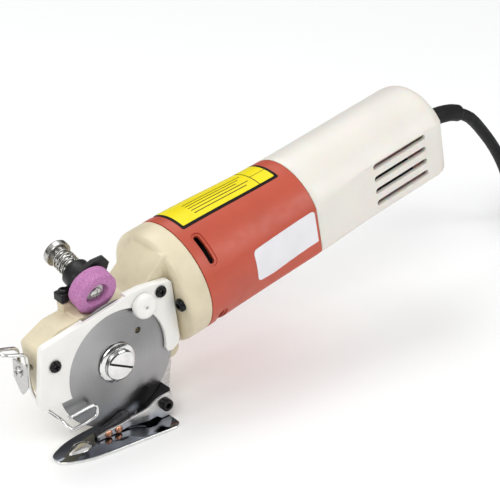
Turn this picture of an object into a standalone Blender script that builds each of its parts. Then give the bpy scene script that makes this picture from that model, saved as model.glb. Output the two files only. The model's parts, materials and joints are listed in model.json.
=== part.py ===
"""Rotary cutter: a hand-held electric cutter with a round blade, for layers of fabric.

Lengths below are millimetres, and MM turns them into metres where a mesh is made.
The world origin is on the underside of the sole plate, straight below the blade's axis:
-X is the cutting direction, +X the handle, -Y the side with the blade's nut, +Z up.
Most pieces are drawn in the blade frame, whose origin is the centre of the blade's outer face.
Motor pieces are drawn in the motor frame: +X along the motor to the rear, +Z across it, upwards.
Sharpener pieces are drawn in the sharpener frame: +Z from the grinding wheel to the button.
"""

import math

import bmesh
import bpy
from mathutils import Matrix, Vector

MM = 0.001
GAP = 0.3
TINY = 1e-6

# Driving dimensions
BLADE_R = 35.0
BLADE_T = 1.0
BLADE_HEIGHT = 39.0
MOTOR_Y = 19.0
MOTOR_ABOVE_BLADE = 12.7
MOTOR_TILT = math.radians(11.1)
SHARPENER_TILT = math.radians(16.0)
WHEEL_CENTRE = (-8.6, 1.0, 40.5)
WHEEL_R = 11.5
WHEEL_T = 9.0

# Worm drive: two starts on an 18-tooth wheel turn the blade at a ninth of the motor's speed
WORM_STARTS = 2
WHEEL_TEETH = 18
GEAR_MODULE = 1.0
WHEEL_PITCH_R = WHEEL_TEETH * GEAR_MODULE / 2
AXIS_DISTANCE = MOTOR_ABOVE_BLADE * math.cos(MOTOR_TILT)
WORM_PITCH_R = AXIS_DISTANCE - WHEEL_PITCH_R
WORM_CENTRE = -MOTOR_ABOVE_BLADE * math.sin(MOTOR_TILT)
WORM_LENGTH = 15.0
LEAD = WORM_STARTS * math.pi * GEAR_MODULE
ADDENDUM = 0.85
DEDENDUM = 1.2
WORM_WHEEL_T = 7.0
WORM_HAND = -1
WHEEL_PHASE = math.radians(-9.0)

# Gearbox
LID_SCREWS = ((-13.2, 0), (13.2, 0))
FLANGE_SCREWS = ((-25.1, 1.9), (25.1, 1.9))

# Blade and its cover
PIN_HOLE = (13.6, 13.2)
COVER_FRONT = -2.2
COVER_BACK = 2.0
COVER_SCREWS = {"front": (-37.5, 13.4), "rear": (26.6, 31.4)}
PLUG_PLACE = (15.0, 28.2)

# Casing
FLANGE_FRONT = 38.0
FLANGE_R = 31.4
SEAM_FRONT = 52.0
SEAM_REAR = 130.0
REAR_END = 228.0
WALL = 2.4
ARCH_R = 28.2
FLAT_SIDE = 26.5
FLAT_BOTTOM = -20.4
CORNER_R = 5.0
REAR_ROUND = 8.0
REAR_TURN_IN = 4.8
ARMATURE_R = 14.6
STATOR_R = 20.8
SLOT_PLACE = 60.0
SLOT_HALF_WIDTH = 1.5
SLOT_SPANS = ((119, 152), (208, 241), (28, 61), (-61, -28))
VENT_SPAN = (173.4, 212.3)
VENT_HEIGHTS = (11.0, 3.4, -4.2, -11.7)
VENT_HALF_HEIGHT = 1.5
SWITCH_SLOT = (151.5, 171.5)
REAR_SCREW_PLACE = 140.0

# Sharpener
CLAMP_SCREW = (-19.2, 14.6)
CLAMP_TOP = 41.3
BARREL_R = 7.6
ROD_R = 3.9

# Foot
SOLE_TOP = -37.5
SOLE_T = 1.5
SOLE_Y = -4.5
RIVET_PLACES = (-10.4, -4.2)
RIVET_Z = -35.1
KNIFE_FRONT = -3.5
KNIFE_BACK = -GAP

# Mains lead
CORD_R = 3.5
TABLE = -BLADE_HEIGHT
COIL_CENTRE = (372.0, MOTOR_Y + 14 - 45.2)
COIL_R = 38.0
COIL_HALF_WIDTH = 10.5
COIL_HEIGHT = 14.0


def clear_scene():
    for obj in list(bpy.data.objects):
        bpy.data.objects.remove(obj, do_unlink=True)


def new_collection(name):
    collection = bpy.data.collections.new(name)
    bpy.context.scene.collection.children.link(collection)
    return collection


def paint(name, rgb, roughness, metallic=0.0):
    material = bpy.data.materials.new(name)
    material.use_nodes = True
    shader = material.node_tree.nodes["Principled BSDF"]
    shader.inputs["Base Color"].default_value = (*rgb, 1.0)
    shader.inputs["Roughness"].default_value = roughness
    shader.inputs["Metallic"].default_value = metallic
    return material


clear_scene()
PARTS = new_collection("rotary_cutter")
CUTTERS = new_collection("cutters")

CREAM_PAINT = paint("cream_paint", (0.72, 0.62, 0.42), 0.45)
RED_PLASTIC = paint("red_plastic", (0.55, 0.09, 0.045), 0.4)
WHITE_PLASTIC = paint("white_plastic", (0.86, 0.83, 0.77), 0.4)
WHITE_NYLON = paint("white_nylon", (0.88, 0.87, 0.84), 0.35)
BLACK_STEEL = paint("black_steel", (0.02, 0.02, 0.022), 0.4, 0.8)
BLACK_PLASTIC = paint("black_plastic", (0.02, 0.02, 0.02), 0.45)
BLACK_RUBBER = paint("black_rubber", (0.015, 0.015, 0.015), 0.7)
BLADE_STEEL = paint("blade_steel", (0.5, 0.5, 0.5), 0.3, 1.0)
BRIGHT_STEEL = paint("bright_steel", (0.75, 0.75, 0.74), 0.15, 1.0)
SATIN_STEEL = paint("satin_steel", (0.6, 0.6, 0.6), 0.4, 1.0)
SPRING_STEEL = paint("spring_steel", (0.4, 0.4, 0.4), 0.25, 1.0)
CORE_STEEL = paint("core_steel", (0.3, 0.3, 0.32), 0.5, 0.9)
COPPER = paint("copper", (0.75, 0.38, 0.22), 0.35, 1.0)
BRONZE = paint("bronze", (0.62, 0.42, 0.15), 0.35, 1.0)
CARBON = paint("carbon", (0.05, 0.05, 0.05), 0.6)
PINK_STONE = paint("pink_stone", (0.62, 0.25, 0.5), 0.95)


def empty(name, parent=None, location=(0, 0, 0), rotation=(0, 0, 0)):
    holder = bpy.data.objects.new(name, None)
    holder.empty_display_size = 10 * MM
    PARTS.objects.link(holder)
    holder.parent = parent
    holder.location = Vector(location) * MM
    holder.rotation_euler = rotation
    return holder


BLADE_FRAME = empty("blade_frame", None, (0, 0, BLADE_HEIGHT))
MOTOR_FRAME = empty(
    "motor_frame", BLADE_FRAME, (0, MOTOR_Y, MOTOR_ABOVE_BLADE), (0, -MOTOR_TILT, 0)
)
# The sharpener's +Z runs from the wheel's face back and up to the button
SHARPENER_FRAME = empty(
    "sharpener_frame", BLADE_FRAME, WHEEL_CENTRE, (SHARPENER_TILT - math.pi / 2, 0, 0)
)
GUARD_FRAME = empty("guard_slide", BLADE_FRAME, (-44, 10, 5))
SWITCH_FRAME = empty("switch_slide", MOTOR_FRAME, (158, FLAT_SIDE, 2))


def add(name, data, material, parent, cutter=False):
    """The object that holds the data: a piece of the cutter, or a wire-drawn cutting tool."""
    obj = bpy.data.objects.new(name, data)
    obj.parent = parent
    if cutter:
        CUTTERS.objects.link(obj)
        obj.hide_render = True
        obj.display_type = "WIRE"
        return obj
    PARTS.objects.link(obj)
    data.materials.append(material)
    return obj


def mesh_from(name, shape, smooth=True):
    bmesh.ops.recalc_face_normals(shape, faces=shape.faces)
    mesh = bpy.data.meshes.new(name)
    shape.to_mesh(mesh)
    shape.free()
    if smooth:
        mesh.shade_smooth()
        mesh.set_sharp_from_angle(angle=math.radians(30))
    return mesh


def aim(obj, point, direction):
    """Puts the object's origin at the point and its +Z along the direction."""
    obj.location = Vector(point) * MM
    turn = Vector((0, 0, 1)).rotation_difference(Vector(direction))
    obj.rotation_euler = turn.to_euler()
    return obj


def box(name, low, high, material, parent, cutter=False):
    shape = bmesh.new()
    middle = [(a + b) / 2 * MM for a, b in zip(low, high)]
    sides = [abs(b - a) * MM for a, b in zip(low, high)]
    matrix = Matrix.Translation(middle) @ Matrix.Diagonal((*sides, 1))
    bmesh.ops.create_cube(shape, size=1, matrix=matrix)
    return add(name, mesh_from(name, shape), material, parent, cutter)


def turned(name, profile, material, parent, point, direction, bore=0, steps=24, cutter=False):
    """A turned piece. The profile is (place along the direction, radius), end to end."""
    outer = [(radius, along) for along, radius in profile]
    if outer[0][1] < outer[-1][1]:
        outer.reverse()
    low, high = outer[-1][1], outer[0][1]
    if bore:
        ring = [*outer, (bore, low), (bore, high)]
    else:
        ring = [(0, high), *outer, (0, low)]
    edges = [(i, i + 1) for i in range(len(ring) - 1)]
    if bore:
        edges.append((len(ring) - 1, 0))
    mesh = bpy.data.meshes.new(name)
    mesh.from_pydata([(r * MM, 0, z * MM) for r, z in ring], edges, [])
    obj = aim(add(name, mesh, material, parent, cutter), point, direction)
    screw = obj.modifiers.new("turn", "SCREW")
    screw.steps = steps
    screw.render_steps = steps
    screw.use_merge_vertices = True
    screw.merge_threshold = 1e-5
    return obj


def rod(name, low, high, radius, material, parent, point, direction, steps=24, cutter=False):
    profile = [(low, radius), (high, radius)]
    return turned(name, profile, material, parent, point, direction, 0, steps, cutter)


PLANES = {
    "XY": Matrix.Identity(4),
    "XZ": Matrix.Rotation(math.pi / 2, 4, "X"),
    "YZ": Matrix(((0, 0, 1, 0), (1, 0, 0, 0), (0, 1, 0, 0), (0, 0, 0, 1))),
}


def flat_mesh(name, outlines, low, high, plane):
    """A mesh of flat outlines, the first outside and the others holes, from low to high across."""
    curve = bpy.data.curves.new(name, "CURVE")
    curve.dimensions = "2D"
    curve.fill_mode = "BOTH"
    curve.extrude = (high - low) / 2 * MM
    for outline in outlines:
        spline = curve.splines.new("POLY")
        spline.points.add(len(outline) - 1)
        for knot, (across, up) in zip(spline.points, outline):
            knot.co = (across * MM, up * MM, 0, 1)
        spline.use_cyclic_u = True
    guide = bpy.data.objects.new(name + "_outline", curve)
    CUTTERS.objects.link(guide)
    graph = bpy.context.evaluated_depsgraph_get()
    mesh = bpy.data.meshes.new_from_object(guide.evaluated_get(graph))
    bpy.data.objects.remove(guide)
    bpy.data.curves.remove(curve)
    lift = Matrix.Translation((0, 0, (low + high) / 2 * MM))
    if plane == "XZ":
        lift = Matrix.Translation((0, 0, -(low + high) / 2 * MM))
    shape = bmesh.new()
    shape.from_mesh(mesh)
    bpy.data.meshes.remove(mesh)
    bmesh.ops.remove_doubles(shape, verts=shape.verts, dist=TINY)
    shape.transform(PLANES[plane] @ lift)
    return mesh_from(name, shape)


def plate(name, outlines, low, high, plane, material, parent, cutter=False):
    mesh = flat_mesh(name, outlines, low, high, plane)
    return add(name, mesh, material, parent, cutter)


def loft(name, rings, material, parent, cutter=False):
    """A closed body through rings of equally many points, with flat ends."""
    shape = bmesh.new()
    rows = [[shape.verts.new(Vector(point) * MM) for point in ring] for ring in rings]
    for first, second in zip(rows, rows[1:]):
        for i in range(len(first)):
            j = (i + 1) % len(first)
            shape.faces.new((first[i], first[j], second[j], second[i]))
    shape.faces.new(rows[0])
    shape.faces.new(rows[-1])
    return add(name, mesh_from(name, shape), material, parent, cutter)


def tube(name, points, radius, material, parent, closed=False, sides=2, taper=None):
    curve = bpy.data.curves.new(name, "CURVE")
    curve.dimensions = "3D"
    curve.bevel_depth = radius * MM
    curve.bevel_resolution = sides
    curve.use_fill_caps = not closed
    spline = curve.splines.new("POLY")
    spline.points.add(len(points) - 1)
    for index, (knot, point) in enumerate(zip(spline.points, points)):
        knot.co = (*(Vector(point) * MM), 1)
        if taper:
            knot.radius = taper(index / (len(points) - 1))
    spline.use_cyclic_u = closed
    return add(name, curve, material, parent)


def boolean(obj, tool, operation="DIFFERENCE"):
    modifier = obj.modifiers.new(operation.lower() + "_" + tool.name, "BOOLEAN")
    modifier.operation = operation
    modifier.object = tool
    return obj


def rounded(corners, radii, segments=3):
    """The outline with its corners turned into arcs. Radii is one radius, or one for each corner."""
    count = len(corners)
    if not isinstance(radii, (list, tuple)):
        radii = [radii] * count
    outline = []
    for i, radius in enumerate(radii):
        here = Vector(corners[i])
        back = (Vector(corners[i - 1]) - here).normalized()
        ahead = (Vector(corners[(i + 1) % count]) - here).normalized()
        half = back.angle(ahead) / 2
        if radius <= 0 or half > math.radians(88):
            outline.append(tuple(here))
            continue
        reach = radius / math.tan(half)
        centre = here + (back + ahead).normalized() * (radius / math.sin(half))
        start = here + back * reach - centre
        sweep = start.angle_signed(here + ahead * reach - centre)
        for k in range(segments + 1):
            angle = sweep * k / segments
            x = start.x * math.cos(angle) + start.y * math.sin(angle)
            y = -start.x * math.sin(angle) + start.y * math.cos(angle)
            outline.append((centre.x + x, centre.y + y))
    return outline


def arc(centre, radius, first, last, count):
    """Points on an arc, with angles in degrees."""
    points = []
    for k in range(count):
        angle = math.radians(first + (last - first) * k / (count - 1))
        points.append(
            (centre[0] + radius * math.cos(angle), centre[1] + radius * math.sin(angle))
        )
    return points


def smooth_path(knots, spacing, closed=False):
    """Points at about the spacing along a smooth curve through the knots."""
    knots = [Vector(knot) for knot in knots]
    count = len(knots)
    spans = count if closed else count - 1
    fine = []
    for i in range(spans):
        if closed:
            a, b, c, d = (knots[(i + k) % count] for k in (-1, 0, 1, 2))
        else:
            b, c = knots[i], knots[i + 1]
            a = knots[i - 1] if i else b * 2 - c
            d = knots[i + 2] if i + 2 < count else c * 2 - b
        for k in range(24):
            u = k / 24
            fine.append(
                0.5
                * (
                    2 * b
                    + (c - a) * u
                    + (2 * a - 5 * b + 4 * c - d) * u**2
                    + (3 * b - a - 3 * c + d) * u**3
                )
            )
    if not closed:
        fine.append(knots[-1])
    lengths = [0.0]
    ring = fine + [fine[0]] if closed else fine
    for p, q in zip(ring, ring[1:]):
        lengths.append(lengths[-1] + (q - p).length)
    pieces = max(2, round(lengths[-1] / spacing))
    points = []
    k = 0
    for i in range(pieces if closed else pieces + 1):
        goal = lengths[-1] * i / pieces
        while k < len(lengths) - 2 and lengths[k + 1] < goal:
            k += 1
        share = (goal - lengths[k]) / (lengths[k + 1] - lengths[k])
        points.append(ring[k].lerp(ring[k + 1], min(1, share)))
    return points


def screw(
    name, point, direction, parent, head_r, head_h, shank_r, length, steps=14, material=BLACK_STEEL
):
    """A screw whose head stands on the point and whose shank runs along the direction."""
    profile = [
        (-head_h, head_r * 0.72),
        (-head_h * 0.6, head_r),
        (GAP / 2, head_r),
        (GAP / 2, shank_r),
        (length, shank_r),
    ]
    return turned(name, profile, material, parent, point, direction, 0, steps)


def drill(obj, name, point, direction, radius, low, high, parent, steps=14):
    tool = rod("cut_" + name, low, high, radius, None, parent, point, direction, steps, True)
    return boolean(obj, tool)


def motor_arch(share):
    """The casing's section in (across, up): share 0 is the front circle, 1 the rear arch."""
    shoulder = math.degrees(math.acos(FLAT_SIDE / ARCH_R))
    inside = CORNER_R - 0.1
    arch = arc((0, 0), ARCH_R, shoulder, 180 - shoulder, 15)
    low = FLAT_BOTTOM + CORNER_R
    arch += [(-FLAT_SIDE, -3)]
    arch += arc((-FLAT_SIDE + CORNER_R, low), inside, 180, 270, 4)
    arch += [(-8, FLAT_BOTTOM), (8, FLAT_BOTTOM)]
    arch += arc((FLAT_SIDE - CORNER_R, low), inside, 270, 360, 4)
    arch += [(FLAT_SIDE, -3)]
    section = []
    for across, up in arch:
        angle = math.atan2(up, across)
        circle = (FLANGE_R * math.cos(angle), FLANGE_R * math.sin(angle))
        section.append(
            (
                circle[0] + (across - circle[0]) * share,
                circle[1] + (up - circle[1]) * share,
            )
        )
    return section


def inset(section, depth):
    """The section drawn in by the depth, towards its own middle."""
    count = len(section)
    result = []
    for i, (across, up) in enumerate(section):
        before = Vector(section[i - 1])
        after = Vector(section[(i + 1) % count])
        along = (after - before).normalized()
        result.append((across - along.y * depth, up + along.x * depth))
    return result


def ring_at(place, section):
    return [(place, across, up) for across, up in section]


def casing_share(place):
    """How far the casing has gone from circle to arch at this place along the motor."""
    u = (place - SEAM_FRONT) / (SEAM_REAR - SEAM_FRONT)
    u = min(max(u, 0.0), 1.0)
    return u * u * (3 - 2 * u)


# ---------------------------------------------------------------- gearbox


def gearbox_housing():
    """Cast head: gear case, neck, round flange and nose in one piece."""
    head = [
        (-20, 31.2), (-13, 31.4), (4, 29.5), (11, 29.4), (16, 31.6), (21.2, 36.6),
        (32.2, 47.2), (44, 48), (46, 4), (40, -5), (30, -8),
        *arc((0, 0), 22, -21, -160, 10), (-21, 0),
    ]  # fmt: skip
    body = plate("gearbox_housing", [head], 2.3, 27.8, "XZ", CREAM_PAINT, BLADE_FRAME)
    shoulder = [(-40, 45), (-40, 16.5), *arc((0, 0), 22, 131.4, 97, 6), (-2.7, 45)]
    tool = plate("cut_shoulder", [shoulder], 17.2, 30, "XZ", None, BLADE_FRAME, True)
    boolean(body, tool)
    nose = rounded(
        [(-12, 32), (-31.4, 28.9), (-44.3, 21.6), (-40.5, -7), (-34, -11), (-12, -18)],
        [0, 1.5, 2.5, 4, 3, 0],
    )
    boolean(body, plate("add_nose", [nose], 2.35, 17, "XZ", None, BLADE_FRAME, True), "UNION")
    post = [
        [(-21.4, 11.4, 27), (-12.2, 11.4, 27), (-12.2, 17, 27), (-21.4, 17, 27)],
        [(-22.2, 11.8, 35.6), (-13, 11.8, 35.6), (-13, 16.9, 35.6), (-22.2, 16.9, 35.6)],
    ]
    boolean(body, loft("add_post", post, None, BLADE_FRAME, True), "UNION")
    lug = rod("add_lug", 4.4, 12, 5.4, None, BLADE_FRAME, (37.6, 0, -9), (0, 1, 0), 18, True)
    boolean(body, lug, "UNION")
    shaft_case = turned(
        "add_shaft_case", [(-21, 6), (-18.5, 8), (-17, 8.4), (40, 8.4)],
        None, MOTOR_FRAME, (0, 0, 0), (1, 0, 0), 0, 24, True,
    )  # fmt: skip
    boolean(body, shaft_case, "UNION")
    flange = turned(
        "add_flange",
        [(FLANGE_FRONT, 28.4), (38.6, 30.2), (41, FLANGE_R), (SEAM_FRONT - GAP / 2, FLANGE_R)],
        None, MOTOR_FRAME, (0, 0, 0), (1, 0, 0), 0, 48, True,
    )  # fmt: skip
    boolean(body, flange, "UNION")
    steps = [
        (-18.6, 5.3), (-11.1, 5.3), (-11.1, 5.7), (38.2, 5.7),
        (38.2, 11.3), (46.5, 11.3), (46.5, 27.6), (60, 27.6),
    ]  # fmt: skip
    bore = turned(
        "cut_shaft_rooms", steps, None, MOTOR_FRAME, (0, 0, 0), (1, 0, 0), 0, 24, True
    )
    boolean(body, bore)
    steps = [(1, 11.5), (4.4, 11.5), (4.4, 5.8), (14.0, 5.8), (14.0, 11.2), (30, 11.2)]
    rooms = turned(
        "cut_spindle_rooms", steps, None, BLADE_FRAME, (0, 0, 0), (0, 1, 0), 0, 24, True
    )
    boolean(body, rooms)
    return boolean(body, wheel_room())


def wheel_room():
    """Space for the grinding wheel and its stroke, cut from the head and the bracket."""
    tool = bpy.data.objects.get("cut_wheel_room")
    if tool:
        return tool
    return rod(
        "cut_wheel_room", -6, WHEEL_T + 1, WHEEL_R + 0.9, None,
        SHARPENER_FRAME, (0, 0, 0), (0, 0, 1), 28, True,
    )  # fmt: skip


def gearbox_cover():
    """Round lid that closes the gear case on the far side."""
    profile = [(28.1, 15.5), (30.4, 15.5), (31.2, 14.7)]
    lid = turned(
        "gearbox_cover", profile, CREAM_PAINT, BLADE_FRAME, (0, 0, 0), (0, 1, 0), 0, 32
    )
    for k, (across, up) in enumerate(LID_SCREWS):
        drill(lid, f"lid_hole_{k}", (across, 28, up), (0, 1, 0), 1.5, -3, 6, BLADE_FRAME, 8)
    return lid


def gearbox_screws(body):
    for k, (across, up) in enumerate(LID_SCREWS):
        point = (across, 31.5, up)
        screw(f"gearbox_screw_{k + 1}", point, (0, -1, 0), BLADE_FRAME, 2.2, 1.6, 1.2, 7.5, 10)
        drill(body, f"gearbox_hole_{k}", point, (0, -1, 0), 1.5, 3, 8.5, BLADE_FRAME, 8)


def flange_screws(body):
    """Screws that hold the gearbox to the motor casing, put in from the front."""
    for k, (across, up) in enumerate(FLANGE_SCREWS):
        point = (FLANGE_FRONT - GAP, across, up)
        screw(f"flange_screw_{k + 1}", point, (1, 0, 0), MOTOR_FRAME, 3.5, 2.2, 1.6, 8, 14)
        drill(body, f"flange_hole_{k}", point, (1, 0, 0), 1.9, -1, 9.5, MOTOR_FRAME, 10)


# ---------------------------------------------------------------- blade cover


def blade_cover():
    """Nylon guard over the upper half of the blade, with a rim room behind its face."""
    outline = [
        *rounded([(-28.4, -9), (-45.6, -9.4), (-47.2, -6.6), (-44.3, 24.9), (5, 35.5)], [0, 3, 0, 3, 0]),
        (5.6, 36.4), (15, 37.2), (32, 35.9), (33.9, 34.2),
        (38.4, 1.0), (37.4, -2.4), (34, -4.9), (31, -4.8),
        *arc((0, 0), 29.6, -5, 197, 28),
    ]  # fmt: skip
    cover = plate(
        "blade_cover", [outline], COVER_FRONT, COVER_BACK, "XZ", WHITE_NYLON, BLADE_FRAME
    )
    rim_room = rod(
        "cut_rim_room", -GAP, 5, BLADE_R + 0.8, None, BLADE_FRAME, (0, 0, 0), (0, 1, 0), 48, True
    )
    boolean(cover, rim_room)
    wheel_gap = box(
        "cut_wheel_gap", (-17.2, -GAP, 28), (5.2, 5, 45), None, BLADE_FRAME, True
    )
    boolean(cover, wheel_gap)
    across, up = PLUG_PLACE
    drill(cover, "plug_seat", (across, 0, up), (0, 1, 0), 3.3, -4, 1, BLADE_FRAME)
    for side, (across, up) in COVER_SCREWS.items():
        drill(cover, f"cover_{side}", (across, 0, up), (0, 1, 0), 1.9, -4, 4, BLADE_FRAME, 12)
    return cover


def cover_plug():
    """Round nylon plug that stands out of the cover over the blade's rim."""
    seat = COVER_FRONT - GAP
    profile = [(-7.2, 5.6), (-6.4, 6.4), (seat, 6.4), (seat, 2.9), (-0.6, 2.9)]
    across, up = PLUG_PLACE
    plug = turned(
        "cover_plug", profile, WHITE_NYLON, BLADE_FRAME, (across, 0, up), (0, 1, 0), 0, 24
    )
    drill(plug, "plug_hole", (across, 0, up), (0, 1, 0), 0.9, -8, -5, BLADE_FRAME, 10)


def cover_screws(body):
    for side, (across, up) in COVER_SCREWS.items():
        point = (across, COVER_FRONT - GAP, up)
        screw(f"cover_screw_{side}", point, (0, 1, 0), BLADE_FRAME, 3.1, 1.5, 1.6, 9, 12)
        drill(body, f"cover_hole_{side}", point, (0, 1, 0), 1.9, 2, 10.5, BLADE_FRAME, 12)


# ---------------------------------------------------------------- blade and its drive


def trapezoid(phase, root, tip, tooth):
    """Radius of a toothed section: phase runs 0 to 1 over one tooth and its gap."""
    away = abs(phase - 0.5) * 2
    flat = tooth * 0.55
    slope = (1 - tooth) * 0.75 + tooth * 0.45
    if away <= flat:
        return tip
    if away >= flat + slope:
        return root
    return tip + (root - tip) * (away - flat) / slope


def worm_shaft():
    """Motor shaft in one piece with its two-start worm at the front end."""
    sides = 20
    root = WORM_PITCH_R - DEDENDUM
    tip = WORM_PITCH_R + ADDENDUM
    start = WORM_CENTRE - WORM_LENGTH / 2
    slices = 26
    rings = []

    def plain(place, radius):
        rings.append(
            [(place, y, z) for y, z in arc((0, 0), radius, 0, 360 * (sides - 1) / sides, sides)]
        )

    plain(start - 7.6, 2.3)
    plain(start - 0.2, 2.3)
    for k in range(slices + 1):
        place = start + WORM_LENGTH * k / slices
        ring = []
        for i in range(sides):
            turn = i / sides
            phase = (turn * WORM_STARTS - (place - WORM_CENTRE) / (LEAD / WORM_STARTS) + 0.5) % 1
            radius = trapezoid(phase, root, tip, 0.34)
            ring.append(
                (place, radius * math.cos(math.tau * turn), radius * math.sin(math.tau * turn))
            )
        rings.append(ring)
    plain(start + WORM_LENGTH + 0.6, 3.9)
    plain(60.0, 3.9)
    plain(66.0, 3.9)
    plain(124.5, 3.9)
    plain(125.0, 3.4)
    return loft("worm_shaft", rings, SATIN_STEEL, MOTOR_FRAME)


def worm_wheel():
    """Bronze gear on the blade's spindle, its teeth slanted to the worm's lead."""
    lead_angle = math.atan(LEAD / (math.tau * WORM_PITCH_R))
    twist = math.tan(lead_angle) / WHEEL_PITCH_R
    corners = (0.14, 0.35, 0.65, 0.86)
    tip = WHEEL_PITCH_R + ADDENDUM - 0.2
    root = WHEEL_PITCH_R - DEDENDUM
    rings = []
    for k in range(3):
        across = WORM_WHEEL_T * (k / 2 - 0.5)
        ring = []
        for i in range(WHEEL_TEETH * 4):
            phase = corners[i % 4]
            radius = tip if i % 4 in (1, 2) else root
            angle = math.tau * (i // 4 + phase) / WHEEL_TEETH
            angle += twist * across * WORM_HAND + WHEEL_PHASE
            ring.append((radius * math.cos(angle), MOTOR_Y + across, radius * math.sin(angle)))
        rings.append(ring)
    wheel = loft("worm_wheel", rings, BRONZE, BLADE_FRAME)
    drill(wheel, "wheel_bore", (0, MOTOR_Y, 0), (0, 1, 0), 3.8, -6, 6, BLADE_FRAME, 20)
    return wheel


def spindle():
    """Blade's shaft, from the clamp flange through the bush and the gear to the lid."""
    profile = [
        (-3.6, 3.4), (1.3, 3.4), (1.3, 9.5), (3.6, 9.5),
        (3.9, 4.0), (14.4, 4.0), (14.6, 3.5), (26.6, 3.5),
    ]  # fmt: skip
    return turned("spindle", profile, SATIN_STEEL, BLADE_FRAME, (0, 0, 0), (0, 1, 0), 0, 20)


def spindle_bush():
    profile = [(4.6, 5.5), (13.6, 5.5)]
    return turned(
        "spindle_bush", profile, BRONZE, BLADE_FRAME, (0, 0, 0), (0, 1, 0), 4.2, 20
    )


def gear_nut():
    """Nut that holds the worm wheel on the spindle."""
    outline = arc((0, 0), 6.2, 0, 300, 6)
    hole = list(reversed(arc((0, 0), 3.8, 0, 342, 20)))
    return plate("gear_nut", [outline, hole], 22.8, 25.6, "XZ", SATIN_STEEL, BLADE_FRAME)


def round_blade():
    """Round steel blade with its edge ground from the back."""
    profile = [(0.0, BLADE_R), (0.16, BLADE_R), (BLADE_T, BLADE_R - 2.6)]
    blade = turned(
        "round_blade", profile, BLADE_STEEL, BLADE_FRAME, (0, 0, 0), (0, 1, 0), 3.75, 64
    )
    across, up = PIN_HOLE
    return drill(blade, "pin_hole", (across, 0, up), (0, 1, 0), 1.8, -2, 3, BLADE_FRAME, 10)


def blade_washer():
    """Dished washer between the blade and its nut."""
    profile = [(-2.1, 8.6), (-1.5, 10.4), (-GAP, 10.7)]
    return turned(
        "blade_washer", profile, BRIGHT_STEEL, BLADE_FRAME, (0, 0, 0), (0, 1, 0), 3.75, 28
    )


def blade_nut():
    """Round slotted nut that clamps the blade."""
    profile = [(-4.9, 5.9), (-4.2, 8.0), (-3.9, 8.3), (-2.4, 8.3)]
    nut = turned(
        "blade_nut", profile, BRIGHT_STEEL, BLADE_FRAME, (0, 0, 0), (0, 1, 0), 0, 28
    )
    drill(nut, "nut_thread", (0, 0, 0), (0, 1, 0), 3.7, -3.9, 0, BLADE_FRAME, 24)
    slot = box("cut_nut_slot", (-9, -6, -0.55), (9, -4.3, 0.55), None, BLADE_FRAME, True)
    slot.rotation_euler = (0, math.radians(27), 0)
    return boolean(nut, slot)


# ---------------------------------------------------------------- motor


def bearing(name, low, high, outer, inner):
    profile = [(low, outer), (high, outer)]
    return turned(
        name, profile, SATIN_STEEL, MOTOR_FRAME, (0, 0, 0), (1, 0, 0), inner, 20
    )


def fan():
    """Cooling fan: a disc with straight vanes."""
    vanes = 8
    outline = []
    for k in range(vanes):
        middle = math.tau * k / vanes
        for radius, turn in ((8.0, -0.3), (9, -0.09), (23, -0.035), (23, 0.035), (9, 0.09)):
            outline.append(
                (radius * math.cos(middle + turn), radius * math.sin(middle + turn))
            )
    hub_hole = list(reversed(arc((0, 0), 4.1, 0, 342, 20)))
    blades = plate("fan", [outline, hub_hole], 54.0, 60.0, "YZ", BLACK_PLASTIC, MOTOR_FRAME)
    disc = turned(
        "add_fan_disc", [(59.5, 23.6), (61.0, 23.6)],
        None, MOTOR_FRAME, (0, 0, 0), (1, 0, 0), 4.1, 20, True,
    )  # fmt: skip
    return boolean(blades, disc, "UNION")


def armature():
    """Slotted stack of laminations with its windings' copper ends."""
    slots = 12
    outline = []
    for k in range(slots):
        middle = math.tau * k / slots
        for radius, turn in ((ARMATURE_R, -0.2), (ARMATURE_R, 0.2), (11, 0.22), (11, 0.3)):
            outline.append(
                (radius * math.cos(middle + turn), radius * math.sin(middle + turn))
            )
    hole = list(reversed(arc((0, 0), 4.1, 0, 342, 20)))
    core = plate("armature", [outline, hole], 75, 99, "YZ", CORE_STEEL, MOTOR_FRAME)
    profile = [(68.6, 9.5), (70, 12.4), (73, 12.8), (101, 12.8), (104, 12.4), (105.4, 9.5)]
    windings = turned(
        "add_windings", profile, None, MOTOR_FRAME, (0, 0, 0), (1, 0, 0), 4.2, 16, True
    )
    return boolean(core, windings, "UNION")


def commutator():
    profile = [(106.0, 10.2), (107.4, 10.2), (107.4, 9.2), (115.2, 9.2)]
    return turned(
        "commutator", profile, COPPER, MOTOR_FRAME, (0, 0, 0), (1, 0, 0), 4.2, 20
    )


def stator_core():
    """Ring of laminations with a pole above and below the armature."""
    bore = 15.4
    outer = arc((0, 0), STATOR_R, 0, 348, 30)
    inner = []
    for start in (0, 180):
        inner += arc((0, 0), 18.8, start - 33, start + 33, 6)
        inner += arc((0, 0), bore, start + 40, start + 140, 8)
    return plate(
        "stator_core", [outer, list(reversed(inner))], 74, 100, "YZ", CORE_STEEL, MOTOR_FRAME
    )


def field_coils():
    """Copper windings round the two poles."""
    for name, side in (("upper", 1), ("lower", -1)):
        knots = []
        for angle in (22, 50, 90, 130, 158):
            reach = 17.1 if angle in (22, 158) else 18.0
            knots.append((70.2 - 0.6 * math.sin(math.radians(angle)), angle, reach))
        path = [(place, angle, reach) for place, angle, reach in knots]
        path += [(174.0 - place, angle, reach) for place, angle, reach in reversed(knots)]
        route = []
        for place, angle, reach in path:
            a = math.radians(angle)
            route.append((place, reach * math.cos(a), side * reach * math.sin(a)))
        tube(
            f"field_coil_{name}",
            smooth_path(route, 8, True),
            1.4,
            COPPER,
            MOTOR_FRAME,
            True,
        )


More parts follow.
